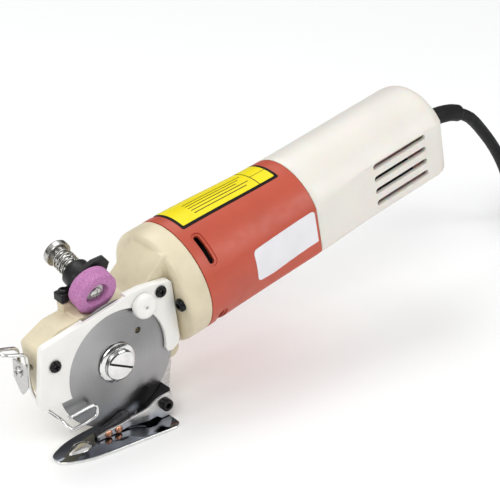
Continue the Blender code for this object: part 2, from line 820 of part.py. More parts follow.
def rear_bearing_bracket():
    """Cross bar with a cup for the rear bearing."""
    outline = rounded([(-6, -16.8), (6, -16.8), (6, 20), (-6, 20)], 3, 2)
    bar = plate(
        "rear_bearing_bracket", [outline], 118.5, 121.5, "YZ", SATIN_STEEL, MOTOR_FRAME
    )
    cup = turned(
        "add_bearing_cup", [(118, 12.4), (127.5, 12.4)],
        None, MOTOR_FRAME, (0, 0, 0), (1, 0, 0), 0, 20, True,
    )  # fmt: skip
    boolean(bar, cup, "UNION")
    drill(bar, "bearing_cup", (0, 0, 0), (1, 0, 0), 9.9, 110, 125.8, MOTOR_FRAME, 20)
    return bar


def brushes():
    """Carbon brushes in their boxes, one on each side of the commutator."""
    for name, side in (("near", -1), ("far", 1)):
        low, high = sorted((side * 10.6, side * 20.6))
        holder = box(
            f"brush_holder_{name}", (108.4, low, -4.2), (115.2, high, 4.2), BRONZE, MOTOR_FRAME
        )
        hollow = box(
            f"cut_brush_{name}", (109.6, low - 3, -3.0), (114.0, high + 3, 3.0),
            None, MOTOR_FRAME, True,
        )  # fmt: skip
        boolean(holder, hollow)
        low, high = sorted((side * 9.5, side * 17.0))
        box(
            f"carbon_brush_{name}", (109.9, low, -2.7), (113.7, high, 2.7), CARBON, MOTOR_FRAME
        )


# ---------------------------------------------------------------- casings


def shell(name, rings, inner_rings, material):
    """A casing: the outer loft with the inner one taken out of it."""
    casing = loft(name, rings, material, MOTOR_FRAME)
    hollow = loft("cut_" + name, inner_rings, None, MOTOR_FRAME, True)
    return boolean(casing, hollow)


def motor_casing():
    places = (SEAM_FRONT + GAP / 2, 64, 78, 91, 104, 118, SEAM_REAR - GAP / 2)
    rings = [ring_at(place, motor_arch(casing_share(place))) for place in places]
    inner = [
        ring_at(place + shift, inset(motor_arch(casing_share(place)), WALL))
        for place, shift in zip(places, (-2, 0, 0, 0, 0, 0, 2))
    ]
    casing = shell("motor_casing", rings, inner, RED_PLASTIC)
    for k, (first, last) in enumerate(SLOT_SPANS):
        outer = arc((0, 0), 36, first, last, 3)
        inside = arc((0, 0), 24, last, first, 3)
        slot = plate(
            f"cut_slot_{k}", [outer + inside], SLOT_PLACE - SLOT_HALF_WIDTH,
            SLOT_PLACE + SLOT_HALF_WIDTH, "YZ", None, MOTOR_FRAME, True,
        )  # fmt: skip
        boolean(casing, slot)
    return casing


def rear_shell():
    whole = motor_arch(1)
    rings = [ring_at(SEAM_REAR + GAP / 2, whole), ring_at(REAR_END - REAR_ROUND, whole)]
    for k in range(1, 4):
        angle = math.pi / 2 * k / 3
        place = REAR_END - REAR_ROUND * (1 - math.sin(angle))
        rings.append(ring_at(place, inset(whole, REAR_TURN_IN * (1 - math.cos(angle)))))
    inner = [
        ring_at(SEAM_REAR - 2, inset(whole, WALL)),
        ring_at(REAR_END - REAR_ROUND, inset(whole, WALL)),
        ring_at(REAR_END - WALL, inset(whole, WALL + 1.6)),
    ]
    casing = shell("rear_shell", rings, inner, WHITE_PLASTIC)
    for k, height in enumerate(VENT_HEIGHTS):
        outline = rounded(
            [
                (VENT_SPAN[0], height - VENT_HALF_HEIGHT),
                (VENT_SPAN[1], height - VENT_HALF_HEIGHT),
                (VENT_SPAN[1], height + VENT_HALF_HEIGHT),
                (VENT_SPAN[0], height + VENT_HALF_HEIGHT),
            ],
            1.2,
            2,
        )
        vent = plate(f"cut_vent_{k}", [outline], -40, 40, "XZ", None, MOTOR_FRAME, True)
        boolean(casing, vent)
    low, high = SWITCH_SLOT
    slot = box("cut_switch_slot", (low, 22, -2.2), (high, 32, 6.2), None, MOTOR_FRAME, True)
    boolean(casing, slot)
    drill(casing, "cord_hole", (0, 0, 0), (1, 0, 0), 5.7, 215, 234, MOTOR_FRAME, 20)
    point = (REAR_SCREW_PLACE, 0, FLAT_BOTTOM)
    drill(casing, "rear_hole", point, (0, 0, 1), 2.0, -2, 6, MOTOR_FRAME, 12)
    return casing


def rear_screw():
    point = (REAR_SCREW_PLACE, 0, FLAT_BOTTOM - GAP)
    screw("rear_screw", point, (0, 0, 1), MOTOR_FRAME, 3.2, 1.6, 1.6, 9, 10)


def switch():
    """Slide switch: its body inside the shell and its thumb slider on the far side."""
    box("switch_body", (150, 12, -4), (173, 22.6, 8), BLACK_PLASTIC, MOTOR_FRAME)
    slider = box(
        "switch_slider", (-6.0, -3.4, -3.6), (4.0, 0.4, 3.6), BLACK_PLASTIC, SWITCH_FRAME
    )
    outline = rounded([(-6.6, -4.6), (4.6, -4.6), (4.6, 4.6), (-6.6, 4.6)], 1.5)
    pad = plate("add_switch_pad", [outline], 0.35, 2.0, "XZ", None, SWITCH_FRAME, True)
    boolean(slider, pad, "UNION")
    for k in range(3):
        low = -4.2 + 3 * k
        ridge = box(
            f"add_ridge_{k}", (low, 1.6, -3.6), (low + 1.2, 2.8, 3.6), None, SWITCH_FRAME, True
        )
        boolean(slider, ridge, "UNION")


def capacitor():
    """Interference capacitor in the rear shell."""
    rod(
        "capacitor", 178, 206, 7.0, BLACK_PLASTIC, MOTOR_FRAME, (0, -13, -9.5), (1, 0, 0), 16
    )


# ---------------------------------------------------------------- sharpener


def sharpener_bracket():
    """Clamp on the post with the plunger's barrel at its upper end."""
    barrel = turned(
        "sharpener_bracket", [(10.2, BARREL_R - 0.8), (11.0, BARREL_R), (20, BARREL_R)],
        BLACK_PLASTIC, SHARPENER_FRAME, (0, 0, 0), (0, 0, 1), 0, 24,
    )  # fmt: skip
    block = rounded(
        [(-22.8, 36), (-12.6, 36), (-8, 38), (-8, 43), (-14, CLAMP_TOP - GAP), (-22.8, 40.6)],
        [0.8, 0.5, 0, 0, 1, 0.8],
        2,
    )
    clamp = plate("add_clamp", [block], 11.3, 18.0, "XZ", None, BLADE_FRAME, True)
    boolean(barrel, clamp, "UNION")
    wing = [(-4, 0), (8, 2), (12.2, -3), (13, -8), (9.5, -12), (3, -11.5), (-4, -8)]
    ear = plate("add_wing", [wing], 10.3, 13.2, "XY", None, SHARPENER_FRAME, True)
    boolean(barrel, ear, "UNION")
    boolean(barrel, wheel_room())
    drill(barrel, "plunger_bore", (0, 0, 0), (0, 0, 1), ROD_R + 0.25, 0, 30, SHARPENER_FRAME, 20)
    drill(barrel, "clamp_hole", (*CLAMP_SCREW, 34), (0, 0, 1), 1.6, 0, 14, BLADE_FRAME, 12)
    return barrel


def sharpener_screw(body):
    point = (*CLAMP_SCREW, CLAMP_TOP)
    screw("sharpener_screw", point, (0, 0, -1), BLADE_FRAME, 2.7, 1.5, 1.3, 13, 12)
    drill(body, "sharpener_hole", point, (0, 0, -1), 1.6, 5, 15, BLADE_FRAME, 12)


def plunger():
    """Rod, button and spring that carry the grinding wheel to the blade."""
    rod_profile = [(5.4, 2.4), (9.2, 2.4), (9.3, ROD_R), (32.7, ROD_R)]
    turned(
        "plunger_rod", rod_profile, SATIN_STEEL, SHARPENER_FRAME, (0, 0, 0), (0, 0, 1), 0, 20
    )
    button_profile = [(33.0, 6.2), (33.4, 7.0), (36.2, 7.0), (36.8, 6.4)]
    turned(
        "plunger_button", button_profile, BRIGHT_STEEL, SHARPENER_FRAME, (0, 0, 0), (0, 0, 1), 0, 24
    )
    turns = 4.5
    low, high = 20.9, 32.3
    coil_r = 5.3
    points = []
    count = int(turns * 10)
    for k in range(count + 1):
        angle = math.tau * turns * k / count
        rise = low + (high - low) * k / count
        points.append((coil_r * math.cos(angle), coil_r * math.sin(angle), rise))
    tube("plunger_spring", points, 0.5, SPRING_STEEL, SHARPENER_FRAME, False, 0)


def grinding_wheel():
    """Cup-shaped pink stone, with its hub washer and screw."""
    rim = WHEEL_R - 0.6
    profile = [(0, rim), (0.6, WHEEL_R), (WHEEL_T - 0.6, WHEEL_R), (WHEEL_T, rim)]
    stone = turned(
        "grinding_wheel", profile, PINK_STONE, SHARPENER_FRAME, (0, 0, 0), (0, 0, 1), 2.8, 32
    )
    drill(stone, "wheel_cup", (0, 0, 0), (0, 0, 1), 6.0, -2, 3.8, SHARPENER_FRAME, 20)
    profile = [(0.9, 1.8), (1.5, 3.0), (2.3, 3.2), (2.4, 4.9), (3.5, 4.9)]
    turned(
        "wheel_screw", profile, SATIN_STEEL, SHARPENER_FRAME, (0, 0, 0), (0, 0, 1), 0, 16
    )


# ---------------------------------------------------------------- guard


GUARD_ROUTE = (
    (-33.6, -4.6, -16.8), (-20.0, -4.6, -15.4), (-16.6, -4.6, -16.6), (-15.8, -4.6, -19.2),
    (-16.6, -4.6, -21.8), (-20.0, -4.6, -22.9), (-28.6, -4.6, -24.3), (-31.2, -3.4, -24.2),
    (-33.4, 2.8, -20.6), (-41.0, 3.5, -11.6), (-44.6, 7.0, -4.5), (-46.6, 7.0, 4.0),
    (-47.0, 7.0, 16.4), (-48.2, 7.0, 19.4), (-51.0, 7.0, 20.6), (-57.2, 7.4, 22.4),
    (-59.6, 9.0, 23.0), (-60.2, 11.0, 23.1), (-59.6, 13.0, 23.0), (-57.2, 14.6, 22.4),
    (-51.0, 15.0, 20.6), (-48.2, 15.0, 19.4), (-47.0, 15.0, 16.4), (-46.6, 15.0, 6.0),
)  # fmt: skip


def finger_guard():
    """Bent wire in front of the blade, which slides up and down in its clip."""
    origin = GUARD_FRAME.location / MM
    route = [Vector(point) - origin for point in GUARD_ROUTE]
    return tube(
        "finger_guard", smooth_path(route, 2.9), 0.95, BRIGHT_STEEL, GUARD_FRAME, False, 1
    )


def guard_clip(body):
    """Sheet clip on the nose that holds the guard's two legs by friction."""
    outline = rounded(
        [(3.4, 14.0), (3.4, 2.0), (9.5, -6.5), (16.6, 2.0), (16.6, 14.0)], [1, 1, 1.5, 1, 1]
    )
    clip = plate("guard_clip", [outline], -0.6, 0.6, "YZ", SATIN_STEEL, BLADE_FRAME)
    clip.location = Vector((-48.9, 0, 0)) * MM
    point = (-49.7, 11.0, 9.0)
    screw("clip_screw", point, (1, 0, 0), BLADE_FRAME, 2.7, 1.4, 1.3, 12, 10, SATIN_STEEL)
    drill(clip, "clip_hole", point, (1, 0, 0), 1.6, -3, 5, BLADE_FRAME, 10)
    drill(body, "nose_hole", point, (1, 0, 0), 1.6, 3, 14, BLADE_FRAME, 10)


# ---------------------------------------------------------------- foot


def sole_plate():
    """Flat sole shaped like an iron, pointed at the front."""
    half = [
        (-42.0, 1.7), (-41.0, 3.9), (-38.8, 5.6), (-36, 7.0), (-30, 9.4), (-20, 11.4),
        (-5, 12.8), (10, 14.0), (20.6, 14.9), (23.4, 14.3), (25.1, 12.7), (25.6, 10.2),
    ]  # fmt: skip
    outline = [(x, SOLE_Y + w) for x, w in half]
    outline += [(x, SOLE_Y - w) for x, w in reversed(half)]
    return plate(
        "sole_plate", [outline], SOLE_TOP - SOLE_T, SOLE_TOP, "XY", BRIGHT_STEEL, BLADE_FRAME
    )


def foot_arm():
    """Bent side arm that ties the sole to the leg in front of the blade."""
    stations = (
        (-16.5, -34.6, -37.1), (-10, -33.3, -37.1), (-3, -32.9, -37.0), (3, -32.0, -36.4),
        (8, -30.2, -35.9), (13, -27.6, -35.3), (17.4, -25.2, -34.8), (20.4, -24.4, -37.1),
        (27.3, -24.0, -37.1),
    )  # fmt: skip
    rings = []
    for x, top, bottom in stations:
        front = -5.4 - 3.6 * min(max((x - 3.0) / 10.0, 0.0), 1.0)
        back = front + 1.6
        rings.append([(x, front, bottom), (x, front, top), (x, back, top), (x, back, bottom)])
    arm = loft("foot_arm", rings, SATIN_STEEL, BLADE_FRAME)
    drill(arm, "arm_screw_hole", (22.2, -9, -28.8), (0, 1, 0), 2.2, -4, 4, BLADE_FRAME, 12)
    for k, x in enumerate(RIVET_PLACES):
        hole = (x, -5.4, RIVET_Z)
        drill(arm, f"arm_rivet_hole_{k}", hole, (0, 1, 0), 1.5, -4, 4, BLADE_FRAME, 10)
    return arm


def counter_knife():
    """Carbide strip that the blade cuts against, riveted to the arm."""
    outline = [
        (-15.8, -37.0), (3.6, -37.0), (4.4, -29.2), (0.6, -28.8), (-3.0, -30.2), (-15.8, -34.2),
    ]  # fmt: skip
    knife = plate(
        "counter_knife", [outline], KNIFE_FRONT, KNIFE_BACK, "XZ", CARBON, BLADE_FRAME
    )
    for k, x in enumerate(RIVET_PLACES):
        hole = (x, 0, RIVET_Z)
        drill(knife, f"knife_rivet_hole_{k}", hole, (0, 1, 0), 1.5, -6, -1.2, BLADE_FRAME, 10)
    return knife


def rivets():
    for k, x in enumerate(RIVET_PLACES):
        seat = -5.4 - GAP
        profile = [(-6.6, 1.3), (-6.1, 2.0), (seat, 2.1), (seat, 1.2), (-1.6, 1.2)]
        turned(
            f"rivet_{k + 1}", profile, COPPER, BLADE_FRAME, (x, 0, RIVET_Z), (0, 1, 0), 0, 10
        )


def spacer_block():
    """Black block between the arm and the leg, outside the blade's rim."""
    outline = [
        *arc((0, 0), BLADE_R + 0.6, -40, -63, 7), (16.2, -37.1), (27.6, -37.1), (27.6, -22.9),
    ]  # fmt: skip
    return plate("spacer_block", [outline], -7.0, 1.7, "XZ", BLACK_PLASTIC, BLADE_FRAME)


def arm_screw():
    """Socket screw that draws the arm, the block and the leg together."""
    profile = [(-12.6, 2.8), (-12.2, 3.3), (-9.3, 3.3), (-9.3, 2.0), (-7.6, 2.0)]
    point = (22.2, 0, -28.8)
    obj = turned(
        "arm_screw", profile, BLACK_STEEL, BLADE_FRAME, point, (0, 1, 0), 0, 16
    )
    socket = plate(
        "cut_socket", [[(x + 22.2, z - 28.8) for x, z in arc((0, 0), 1.8, 0, 300, 6)]],
        -14, -10.8, "XZ", None, BLADE_FRAME, True,
    )  # fmt: skip
    return boolean(obj, socket)


def leg_plate():
    """Steel leg from the gear case down to the sole, behind the blade."""
    outline = rounded(
        [(24.0, -15.0), (35.9, -12.9), (32.9, -37.1), (12.0, -37.1), (14.0, -31.0)],
        [2, 0, 0, 0, 4],
    )
    return plate("leg_plate", [outline], 2.0, 4.0, "XZ", SATIN_STEEL, BLADE_FRAME)


# ---------------------------------------------------------------- lead


RELIEF_ROUTE = (
    (216.6, MOTOR_Y, 55.2), (230.0, MOTOR_Y, 57.6), (241.0, MOTOR_Y, 58.7),
    (250.0, MOTOR_Y, 58.1), (255.0, MOTOR_Y, 57.0), (259.0, MOTOR_Y, 55.6),
)  # fmt: skip
CORD_ROUTE = (
    (259.9, MOTOR_Y, 55.2), (267.6, MOTOR_Y, 51.1), (274.0, MOTOR_Y, 45.6), (281.0, MOTOR_Y, 38.0),
    (289.0, MOTOR_Y, 28.6), (297.0, 19.2, 17.6), (304.5, 20.2, 6.0), (311.5, 22.2, -6.0),
    (318.0, 24.8, -17.0), (324.5, 27.7, -25.6), (332.5, 30.6, -31.9), (340.0, 32.4, -34.7),
    (345.0, 32.8, -35.2),
)  # fmt: skip


def mains_lead():
    """Strain relief, the free stretch of lead, its coil and the plug."""
    tube(
        "strain_relief",
        smooth_path(RELIEF_ROUTE, 4.5),
        5.2,
        BLACK_RUBBER,
        BLADE_FRAME,
        sides=4,
        taper=lambda share: 1.0 - 0.16 * share,
    )
    tube("cord", smooth_path(CORD_ROUTE, 8), CORD_R, BLACK_RUBBER, BLADE_FRAME, sides=2)
    outside = COIL_R + COIL_HALF_WIDTH
    profile = [(TABLE + 0.3, outside), (TABLE + COIL_HEIGHT, outside)]
    turned(
        "cord_coil", profile, BLACK_RUBBER, BLADE_FRAME,
        (*COIL_CENTRE, 0), (0, 0, 1), COIL_R - COIL_HALF_WIDTH, 32,
    )  # fmt: skip


def plug():
    """Two-pin plug that lies on the coil, its cord end towards the turns it comes from."""
    base = TABLE + COIL_HEIGHT + 0.4
    x, y = COIL_CENTRE
    body = rounded(
        [(-12, -14), (12, -14), (12, 10), (5, 20), (-5, 20), (-12, 10)], [2, 2, 3, 2, 2, 3], 2
    )
    outline = [(x + COIL_R + a, y + b) for a, b in body]
    plug_body = plate("plug", [outline], base, base + 14, "XY", BLACK_RUBBER, BLADE_FRAME)
    for k, side in enumerate((-6.5, 6.5)):
        point = (x + COIL_R + side, y, base + 7)
        pin = rod(
            f"add_pin_{k}", 10, 32.2, 2.4, None, BLADE_FRAME, point, (0, -1, 0), 14, True
        )
        boolean(plug_body, pin, "UNION")
    return plug_body


def main():
    body = gearbox_housing()
    gearbox_cover()
    gearbox_screws(body)
    flange_screws(body)
    blade_cover()
    cover_plug()
    cover_screws(body)
    worm_shaft()
    worm_wheel()
    spindle()
    spindle_bush()
    gear_nut()
    round_blade()
    blade_washer()
    blade_nut()
    bearing("front_bearing", 38.6, 45.6, 11.0, 4.1)
    bearing("tip_bush", -18.2, -11.4, 5.0, 2.6)
    bearing("rear_bearing", 118.9, 125.4, 9.6, 4.1)
    fan()
    armature()
    commutator()
    stator_core()
    field_coils()
    rear_bearing_bracket()
    brushes()
    motor_casing()
    rear_shell()
    rear_screw()
    switch()
    capacitor()
    sharpener_bracket()
    sharpener_screw(body)
    plunger()
    grinding_wheel()
    finger_guard()
    guard_clip(body)
    sole_plate()
    foot_arm()
    counter_knife()
    rivets()
    spacer_block()
    arm_screw()
    leg_plate()
    mains_lead()
    plug()


main()
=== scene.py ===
"""Looks of the rotary cutter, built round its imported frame. Shapes are drawn in millimetres."""

import json
import math

import bmesh
import bpy
import numpy as np
from mathutils import Matrix, Vector

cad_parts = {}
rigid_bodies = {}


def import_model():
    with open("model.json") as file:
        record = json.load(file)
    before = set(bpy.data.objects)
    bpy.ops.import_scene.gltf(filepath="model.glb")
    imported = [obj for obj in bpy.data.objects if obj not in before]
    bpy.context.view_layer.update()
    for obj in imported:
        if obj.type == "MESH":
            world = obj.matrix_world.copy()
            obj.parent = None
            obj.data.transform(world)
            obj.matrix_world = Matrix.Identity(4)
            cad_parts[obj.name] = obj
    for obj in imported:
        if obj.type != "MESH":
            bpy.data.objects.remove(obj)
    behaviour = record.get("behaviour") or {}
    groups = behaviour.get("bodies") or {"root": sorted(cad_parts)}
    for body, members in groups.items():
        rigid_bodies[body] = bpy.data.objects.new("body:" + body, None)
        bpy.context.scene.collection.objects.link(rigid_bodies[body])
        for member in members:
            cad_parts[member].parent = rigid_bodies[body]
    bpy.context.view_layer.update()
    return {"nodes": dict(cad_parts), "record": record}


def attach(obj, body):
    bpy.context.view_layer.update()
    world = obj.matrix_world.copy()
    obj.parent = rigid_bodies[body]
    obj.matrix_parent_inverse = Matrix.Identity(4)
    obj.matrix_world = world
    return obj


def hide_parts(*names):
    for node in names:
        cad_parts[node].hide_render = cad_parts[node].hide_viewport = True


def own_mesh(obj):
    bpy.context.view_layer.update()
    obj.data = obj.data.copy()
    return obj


for old in list(bpy.data.objects):
    bpy.data.objects.remove(old, do_unlink=True)
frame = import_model()
NODES = frame["nodes"]

MM = 0.001
TILT = math.radians(11.1)
LEAN = math.radians(16.0)
SCALE = Matrix.Scale(MM, 4)
ROW = Matrix.Identity(4)
BLADE = Matrix.Translation((0, 0, 39))
MOTOR = BLADE @ Matrix.Translation((0, 19, 12.7)) @ Matrix.Rotation(-TILT, 4, "Y")
SHARP = (
    BLADE
    @ Matrix.Translation((-8.6, 1, 40.5))
    @ Matrix.Rotation(LEAN - math.pi / 2, 4, "X")
)
SEAM_FRONT, SEAM_REAR, REAR_END = 52.0, 130.0, 228.0
FLANGE_R, ARCH_R, FLAT_SIDE, FLAT_BOTTOM, CORNER_R = 31.4, 28.2, 26.5, -20.4, 5.0
WALL = 2.4
CORD_R = 3.5
FLANGE_SCREWS = ((-25.1, 1.9), (25.1, 1.9))
COVER_SCREWS = ((-37.5, 13.4), (26.6, 31.4))
LID_SCREWS = (-13.2, 13.2)
CLAMP_SCREW = (-19.2, 14.6)
CLIP_SCREW = (-49.7, 11, 9)
RIVETS, RIVET_Z = (-10.4, -4.2), -35.1
STOPPER = (15, 28.2)
ARM_SCREW = (22.2, -28.8)
REAR_SCREW_AT = 140


# ---- camera


def added(name, data):
    """A new object in the scene that shows the data."""
    obj = bpy.data.objects.new(name, data)
    bpy.context.scene.collection.objects.link(obj)
    return obj


def aim_at(holder, place, target):
    holder.location = place
    away = Vector(target) - holder.location
    holder.rotation_euler = away.to_track_quat("-Z", "Y").to_euler()


def add_camera():
    camera = bpy.data.cameras.new("camera")
    camera.lens = 125.8
    camera.sensor_width = 36
    holder = added("camera", camera)
    aim_at(holder, (-0.4288, -0.6064, 0.4888), (0.08666, 0.0, 0.07219))
    bpy.context.scene.camera = holder


add_camera()


# ---- materials


PAINT = {}


class Paint:
    """A Principled material whose detail comes from nodes in object coordinates."""

    def __init__(self, name, rgb, roughness, metallic=0.0, **sockets):
        self.material = bpy.data.materials.new(name)
        self.material.use_nodes = True
        self.nodes = self.material.node_tree.nodes
        self.links = self.material.node_tree.links
        self.shader = self.nodes["Principled BSDF"]
        self.shader.inputs["Base Color"].default_value = (*rgb, 1)
        self.shader.inputs["Roughness"].default_value = roughness
        self.shader.inputs["Metallic"].default_value = metallic
        for key, value in sockets.items():
            self.shader.inputs[key.replace("_", " ")].default_value = value
        PAINT[name] = self.material
        self.where = self.nodes.new("ShaderNodeTexCoord").outputs["Object"]
        self.height = None

    def node(self, kind, **values):
        made = self.nodes.new(kind)
        for key, value in values.items():
            setattr(made, key, value)
        return made

    def math(self, operation, first, second=0.0):
        made = self.node("ShaderNodeMath", operation=operation)
        for socket, value in zip(made.inputs, (first, second)):
            if isinstance(value, (int, float)):
                socket.default_value = value
            else:
                self.links.new(value, socket)
        return made.outputs[0]

    def noise(self, scale, detail, stretch=None):
        made = self.node("ShaderNodeTexNoise")
        made.inputs["Scale"].default_value = scale
        made.inputs["Detail"].default_value = detail
        made.inputs["Roughness"].default_value = 0.55
        place = self.where
        if stretch:
            mapping = self.node("ShaderNodeMapping")
            mapping.inputs["Scale"].default_value = stretch
            self.links.new(place, mapping.inputs["Vector"])
            place = mapping.outputs["Vector"]
        self.links.new(place, made.inputs["Vector"])
        return made.outputs["Fac"]

    def cells(self, scale, output="Distance"):
        made = self.node("ShaderNodeTexVoronoi")
        made.inputs["Scale"].default_value = scale
        self.links.new(self.where, made.inputs["Vector"])
        return made.outputs[output]

    def ramp(self, source, stops):
        made = self.node("ShaderNodeValToRGB")
        band = made.color_ramp
        while len(band.elements) < len(stops):
            band.elements.new(0.5)
        for element, (place, colour) in zip(band.elements, stops):
            element.position = place
            element.color = (*colour, 1)
        self.links.new(source, made.inputs["Fac"])
        return made.outputs["Color"]

    def colours(self, source, low, high, start=0.35, end=0.65):
        """Base colour between two shades by a source."""
        out = self.ramp(source, [(start, low), (end, high)])
        self.links.new(out, self.shader.inputs["Base Color"])
        return self

    def roughen(self, source, low, high, start=0.3, end=0.7):
        out = self.ramp(source, [(start, (low,) * 3), (end, (high,) * 3)])
        self.links.new(out, self.shader.inputs["Roughness"])
        return self

    def bump(self, source, strength, distance):
        made = self.node("ShaderNodeBump")
        made.inputs["Strength"].default_value = strength
        made.inputs["Distance"].default_value = distance
        self.links.new(source, made.inputs["Height"])
        if self.height:
            self.links.new(self.height, made.inputs["Normal"])
        self.height = made.outputs["Normal"]
        self.links.new(self.height, self.shader.inputs["Normal"])
        return self

    def rings(self, axis, centre, spacing):
        """Fine turning marks round an axis through the centre, in metres."""
        split = self.node("ShaderNodeSeparateXYZ")
        self.links.new(self.where, split.inputs[0])
        squares = []
        for key, offset in zip("XYZ", centre):
            if key != axis:
                away = self.math("SUBTRACT", split.outputs[key], offset)
                squares.append(self.math("MULTIPLY", away, away))
        radius = self.math("SQRT", self.math("ADD", *squares))
        made = self.node("ShaderNodeTexNoise", noise_dimensions="1D")
        made.inputs["Scale"].default_value = 1 / spacing
        made.inputs["Detail"].default_value = 3
        self.links.new(radius, made.inputs["W"])
        return made.outputs["Fac"]


def tone(rgb, factor):
    return tuple(min(1.0, c * factor) for c in rgb)


def surface(name, rgb, roughness, metallic, mottle, sheen, bumps, **sockets):
    """The usual material. Mottle is a noise and its darkest and lightest factors, sheen a noise
    and the roughness at its ends, and each bump a noise, a strength and a distance in metres."""
    p = Paint(name, rgb, roughness, metallic, **sockets)
    noise, dark, light = mottle
    p.colours(p.noise(*noise), tone(rgb, dark), tone(rgb, light))
    if sheen:
        noise, low, high = sheen
        p.roughen(p.noise(*noise), low, high)
    for noise, strength, distance in bumps:
        p.bump(p.noise(*noise), strength, distance)
    return p


def blade_steel():
    rgb = (0.36, 0.36, 0.365)
    axis_up = 0.039
    p = Paint("blade_steel", rgb, 0.32, 1.0, Anisotropic=0.65)
    marks = p.rings("Y", (0, 0, axis_up), 0.00032)
    split = p.node("ShaderNodeSeparateXYZ")
    p.links.new(p.where, split.inputs[0])
    above = p.math("SUBTRACT", split.outputs["Z"], axis_up)
    # Bright and dark sectors round the hub, from twice the angle about the axis, are a painted reflection of
    # the lights in the base colour
    twice = p.math("MULTIPLY", p.math("ARCTAN2", above, split.outputs["X"]), 2.0)
    painted_highlight_sectors = p.math("COSINE", p.math("ADD", twice, p.math("MULTIPLY", p.noise(25, 2), 2.5)))
    # The colour mixes the real turning marks with the painted highlight sectors
    mixed = p.math("ADD", p.math("MULTIPLY", marks, 0.5), p.math("MULTIPLY", painted_highlight_sectors, 0.22))
    p.colours(mixed, tone(rgb, 0.68), tone(rgb, 1.12), 0.0, 0.5)
    p.roughen(p.noise(90, 4), 0.26, 0.4)
    p.bump(marks, 0.08, 0.00005)
    tangent = p.node("ShaderNodeTangent", direction_type="RADIAL", axis="Y")
    p.links.new(tangent.outputs[0], p.shader.inputs["Tangent"])


def pink_stone():
    p = Paint("pink_stone", (0.62, 0.25, 0.5), 0.95)
    grains = p.math("MULTIPLY", p.cells(3000, "Color"), 0.45)
    mixed = p.math("ADD", grains, p.math("MULTIPLY", p.noise(900, 5), 0.55))
    shades = [(0.25, (0.36, 0.13, 0.30)), (0.5, (0.49, 0.19, 0.41)), (0.78, (0.62, 0.30, 0.54))]
    p.links.new(p.ramp(mixed, shades), p.shader.inputs["Base Color"])
    p.roughen(p.noise(700, 4), 0.85, 1.0)
    p.bump(p.noise(1900, 5), 0.4, 0.0002)
    p.bump(p.cells(3000), 0.3, 0.0002)


def add_materials():
    surface("cream_paint", (0.70, 0.62, 0.44), 0.42, 0.0, ((60, 3), 0.93, 1.05), ((420, 3), 0.34, 0.52),
            [((750, 2), 0.16, 0.0003), ((2600, 2), 0.1, 0.0001)], Coat_Weight=0.15, Coat_Roughness=0.3)
    red = surface("red_plastic", (0.50, 0.075, 0.038), 0.42, 0.0, ((35, 3), 0.94, 1.05),
                  ((180, 4), 0.36, 0.5), [])
    red.bump(red.cells(2600), 0.1, 0.0001)
    red.bump(red.noise(900, 3), 0.06, 0.0001)
    surface("white_plastic", (0.78, 0.745, 0.69), 0.36, 0.0, ((28, 3), 0.975, 1.02),
            ((160, 4), 0.3, 0.43), [((1400, 3), 0.05, 0.0001)],
            Subsurface_Weight=0.35, Subsurface_Scale=0.004)
    surface("white_nylon", (0.86, 0.85, 0.815), 0.4, 0.0, ((45, 4), 0.97, 1.02), ((240, 4), 0.34, 0.5),
            [((380, 3), 0.07, 0.0002), ((2400, 2), 0.06, 0.0001)])
    surface("black_plastic", (0.009, 0.009, 0.01), 0.38, 0.0, ((150, 4), 0.7, 1.5),
            ((260, 4), 0.32, 0.56), [((1500, 3), 0.14, 0.0001)], Specular_IOR_Level=0.3)
    surface("black_steel", (0.01, 0.01, 0.011), 0.28, 0.6, ((500, 4), 0.6, 2.0),
            ((600, 4), 0.16, 0.36), [((1800, 3), 0.1, 0.0001)], Specular_IOR_Level=0.4)
    surface("black_rubber", (0.007, 0.007, 0.0075), 0.45, 0.0, ((120, 4), 0.8, 1.6),
            ((300, 3), 0.42, 0.62), [((1100, 3), 0.12, 0.0001)], Specular_IOR_Level=0.22)
    blade_steel()
    surface("bright_steel", (0.78, 0.78, 0.77), 0.12, 1.0, ((240, 4), 0.9, 1.05),
            ((420, 5), 0.07, 0.2), [((900, 3), 0.02, 0.0001)])
    surface("sole_chrome", (0.13, 0.14, 0.16), 0.06, 1.0, ((60, 3), 0.85, 1.15),
            ((500, 5, (0.3, 2, 1)), 0.04, 0.1), [((120, 2), 0.015, 0.0002)])
    brushed = (700, 4, (0.12, 1, 1))
    surface("satin_steel", (0.6, 0.59, 0.58), 0.34, 1.0, (brushed, 0.88, 1.08),
            (brushed, 0.26, 0.44), [(brushed, 0.06, 0.0001)])
    surface("spring_steel", (0.46, 0.45, 0.43), 0.2, 1.0, ((600, 4), 0.75, 1.2), ((800, 4), 0.14, 0.32), [])
    layers = (1600, 1, (1, 0.02, 0.02))
    surface("core_steel", (0.3, 0.3, 0.32), 0.5, 0.9, (layers, 0.6, 1.2), None, [(layers, 0.3, 0.0002)])
    surface("copper", (0.8, 0.4, 0.25), 0.32, 1.0, ((500, 4), 0.85, 1.1), ((900, 4), 0.24, 0.46),
            [((1500, 3), 0.08, 0.0001)])
    surface("bronze", (0.62, 0.42, 0.15), 0.35, 1.0, ((350, 4), 0.85, 1.1), ((700, 4), 0.28, 0.45), [])
    surface("carbon", (0.045, 0.045, 0.048), 0.42, 0.4, ((700, 4), 0.6, 1.5), None,
            [((2000, 3), 0.12, 0.0001)])
    pink_stone()
    label = [((500, 2), 0.03, 0.0001)]
    surface("yellow_label", (0.86, 0.72, 0.008), 0.4, 0.0, ((90, 3), 0.96, 1.03), None, label,
            Specular_IOR_Level=0.2)
    surface("black_print", (0.004, 0.004, 0.004), 0.5, 0.0, ((400, 3), 0.8, 1.5), None, label,
            Specular_IOR_Level=0.15)
    surface("white_label", (0.80, 0.79, 0.82), 0.34, 0.0, ((70, 3), 0.97, 1.02), None, label,
            Coat_Weight=0.3, Coat_Roughness=0.15)


add_materials()

for entry in frame["record"]["subparts"]:
    mesh = NODES[entry["node"]].data
    mesh.materials.clear()
    mesh.materials.append(PAINT[entry["material_slot"]])


# ---- mesh tools


